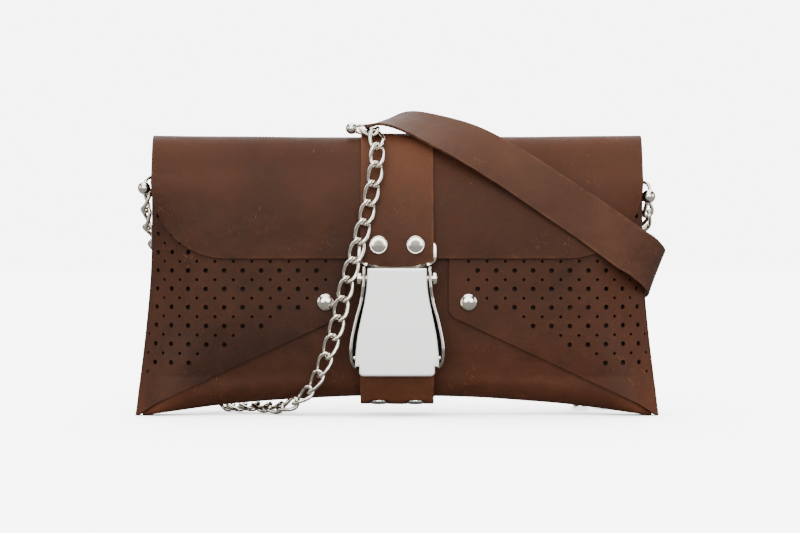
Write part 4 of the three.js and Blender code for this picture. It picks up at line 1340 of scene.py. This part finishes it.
def build_strap():
    rungs = [(Vector(p[:3]), Vector(p[3:])) for p in STRAP_RUNGS]
    rungs += [(turn_point(a, 1), turn_point(a, -1)) for a in steps(0.3, math.pi + 0.2, 9)]
    heading = (TURN_AXIS * -TURN_DROP - TURN_OUT).normalized()
    last = rungs[-1]
    for run, back in STRAP_END:
        rungs.append(tuple(p + heading * run + Vector((0, back, 0)) for p in last))
    upper, lower = zip(*rungs)

    def face(c, r):
        return even_knots(upper, r).lerp(even_knots(lower, r), c)

    columns, rows = steps(0, 1, 14), steps(0, 1, 260)
    points = skin_points(columns, rows, face, lambda r: LEATHER / 2)
    strap = new_piece("shoulder_strap", points, grid_faces(len(columns), len(rows)))

    def tone(p):
        # painted light and shade: lighter high up under the light from above, darker behind the bag where
        # it is in shade
        high, right, behind = ease(p.z, 160, 200), ease(p.x, 60, 150), ease(p.y, -10, 20)
        return 0.24 + 0.14 * high + 0.04 * right - 0.1 * behind

    tone_skin(strap, tone)
    wear_edges(strap, 1.6)
    cut_leather(strap, strap_hide, edge=0.35)
    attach(strap, "bag")
    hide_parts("strap")


build_strap()

# ---- The screw-ball rings ----
# Oval rings of nickel-plated wire, each closed by a pin with a ball for a head. Two hang in slots at the
# top of the bag's side folds and two pass through the strap's ends.
RINGS = {
    "ring_bag_left": ((-170.6, -1, 158), (-0.866, -0.5, 0), (0, 0, 1), (-173.8, -13.5, 156.3), 4.4),
    "ring_bag_right": ((170.6, -1, 154.7), (0.866, -0.5, 0), (0, 0, 1), (172.8, -13.5, 150.5), 4.7),
    "ring_strap_left": ((-24.5, -2, 197.6), (-1, 0, 0), (0, 0.866, 0.5), (-31.5, -6.5, 197.7), 4.0),
    "ring_strap_right": ((116, 30, 102), (0, 1, 0), (0.992, 0, -0.124), (116, 42, 102), 4.4),
}  # middle, the direction of its narrow side, that of its long side, the ball's middle and radius
RING_NARROW, RING_LONG, RING_WIRE = 4.8, 6.1, 1.15
RING_PIN = 1.3


def bent_wire(path, middle, section):
    """A closed wire: its section's (out, over) pairs follow the path, `out` away from the middle."""
    points = []
    for k, here in enumerate(path):
        along = (path[(k + 1) % len(path)] - path[k - 1]).normalized()
        out = here - middle
        out = (out - along * out.dot(along)).normalized()
        over = along.cross(out)
        points.extend(here + out * u + over * v for u, v in section)
    wide, faces = len(section), []
    for k in range(len(path)):
        low, high = k * wide, (k + 1) % len(path) * wide
        faces.extend(closed_strip(range(low, low + wide), range(high, high + wide)))
    return points, faces


def circle(radius, sides):
    """Even places round a circle."""
    return [(radius * math.cos(t), radius * math.sin(t)) for t in steps(0, 2 * math.pi, sides)[:-1]]


def build_ring(name, middle, wide, tall, ball, size):
    middle, wide, tall, ball = map(Vector, (middle, wide, tall, ball))
    path = [middle + wide * a * RING_NARROW + tall * b * RING_LONG for a, b in circle(1.0, 48)]
    leg = middle + wide * RING_NARROW
    length = (ball - leg).length
    pin = [(0.0, 0.0), (RING_PIN, 0.0), (RING_PIN, length), (0.0, length)]
    round_head = [(size * math.sin(t), -size * math.cos(t)) for t in steps(0, math.pi, 20)]
    shells = [
        bent_wire(path, middle, circle(RING_WIRE, 14)),
        turned(pin, leg, ball - leg, 24),
        turned(round_head, ball, ball - leg, 40),
    ]
    fit_metal(hard_piece(f"screw_{name}", shells), polished_nickel, [name])


for ring_name, ring_sizes in RINGS.items():
    build_ring(ring_name, *ring_sizes)

# ---- The chains ----
# Two curb chains of 34 nickel-plated links, 19 mm long, each bent from round wire, twisted and filed just
# flat on its broad faces. One hangs in front and goes round under the bag's left end, the other behind.
LEFT_ROUTE = [
    (-23.1, -3.5, 196.4, 0.82, 0.25), (-14.7, -14.5, 194.6, 0.46, 0.06), (-13.3, -25, 178, 0, 0),
    (-18.8, -29.5, 145.5, 0, 0), (-25.7, -33.5, 118.5, 0, 0), (-34, -33.5, 91.2, 0, 0),
    (-40.4, -31, 64, 0.1, 0), (-49.7, -28.5, 36.4, 0.25, -0.35), (-60, -24, 17.5, 0.45, -0.7),
    (-75, -18, 6.8, 0.5, -0.5), (-100, 8, 5.2, 0.85, 0), (-122, 28, 5.2, 1, 0), (-139, 34, 27, 0.2, 0),
    (-155, 33, 65, 0, -0.3), (-167.5, 22, 110, 0, -0.8), (-174.4, 6, 134, 0, -1.2),
    (-173.1, -1.3, 154.9, 0, -1.5),
]  # places along it, how flat it lies there (0 hanging, 1 on the ground) and where its broad side looks
RIGHT_ROUTE = [
    (171.7, -2.7, 149.2, 0, 1.1), (174.8, 10, 134, 0, 0.8), (163, 30, 115, 0, 0.3), (163, 32, 70, 0, 0),
    (169, 35, 27, 0.1, 0), (173, 46, 7, 0.8, 0), (173, 84, 4.7, 1, 0), (161, 86, 4.7, 1, 0),
    (160, 50, 4.7, 1, 0), (148, 48, 4.7, 1, 0), (146, 84, 4.7, 1, 0), (134, 86, 4.7, 1, 0),
    (132, 52, 6.4, 1, 0), (128, 36, 20, 0.2, 0), (114, 34, 60, 0, 0), (109, 31.5, 88, 0, 0),
    (110.3, 30, 103.5, 0, 0),
]
LINKS = 34
LINK_HALF, LINK_WIDE, LINK_WIRE = 8.35, 4.45, 1.36  # half its length and width, and its wire's radius
LINK_FLAT = 0.92  # the wire is filed off beyond this share of its radius
LINK_SQUARE = (0.72, 0.85)  # how square its loop is along and across; 1 is an oval
LINK_TWIST = math.pi / 4  # each end is turned this far, one way and the other


def spaced_knots(points, share):
    """A smooth curve through points, slower where they are closer together."""
    place = share * (len(points) - 1)
    k = min(int(place), len(points) - 2)
    p = with_ends(points)[k:k + 4]
    gaps = [max(1e-4, math.sqrt((b - a).length)) for a, b in zip(p, p[1:])]
    first, second, third = [(b - a) / gap for a, b, gap in zip(p, p[1:], gaps)]
    leave = (first - (p[2] - p[0]) / (gaps[0] + gaps[1]) + second) * gaps[1]
    arrive = (second - (p[3] - p[1]) / (gaps[1] + gaps[2]) + third) * gaps[1]
    return hermite(p[1], p[2], leave, arrive, place - k)


def link_places(route):
    """Where each link lies: its middle, the direction of its length and that of its width."""
    knots = [Vector(stop[:3]) for stop in route]
    fine = [spaced_knots(knots, share) for share in steps(0, 1, 2000)]
    run = [0.0]
    for a, b in zip(fine, fine[1:]):
        run.append(run[-1] + (b - a).length)

    def share_at(part):
        want = part * run[-1]
        k = max(0, min(len(run) - 2, bisect_right(run, want) - 1))
        return (k + (want - run[k]) / (run[k + 1] - run[k])) / (len(run) - 1)

    places = []
    for k in range(LINKS):
        start = spaced_knots(knots, share_at(k / LINKS))
        end = spaced_knots(knots, share_at((k + 1) / LINKS))
        stop = share_at((k + 0.5) / LINKS) * (len(route) - 1)
        low = min(len(route) - 2, int(stop))
        lie, look = [lerp(route[low][c], route[low + 1][c], stop - low) for c in (3, 4)]
        along = (end - start).normalized()
        faced = Vector((math.sin(look) * (1 - lie), -math.cos(look) * (1 - lie), lie))
        places.append(((start + end) / 2, along, faced.cross(along).normalized()))
    return places


def link_shell(middle, along, side):
    over = along.cross(side)
    flat = LINK_FLAT * LINK_WIRE
    section = [(u, max(-flat, min(flat, v))) for u, v in circle(LINK_WIRE, 16)]
    path = []
    for a, b in circle(1.0, 44):
        x = LINK_HALF * math.copysign(abs(a) ** LINK_SQUARE[0], a)
        y = LINK_WIDE * math.copysign(abs(b) ** LINK_SQUARE[1], b)
        turn = LINK_TWIST * x / LINK_HALF
        path.append(middle + along * x + (side * math.cos(turn) + over * math.sin(turn)) * y)
    return bent_wire(path, middle, section)


def build_chain(name, route, nodes):
    shells = [link_shell(*place) for place in link_places(route)]
    fit_metal(hard_piece(name, shells, 60.0), polished_nickel, nodes)


left_nodes = [f"link_{k:02d}" for k in range(1, 25)]
left_nodes += [f"chain_left_{k:02d}" for k in range(1, 4)]
build_chain("left_chain", LEFT_ROUTE, left_nodes)
build_chain("right_chain", RIGHT_ROUTE, [f"chain_right_{k:02d}" for k in range(1, 9)])
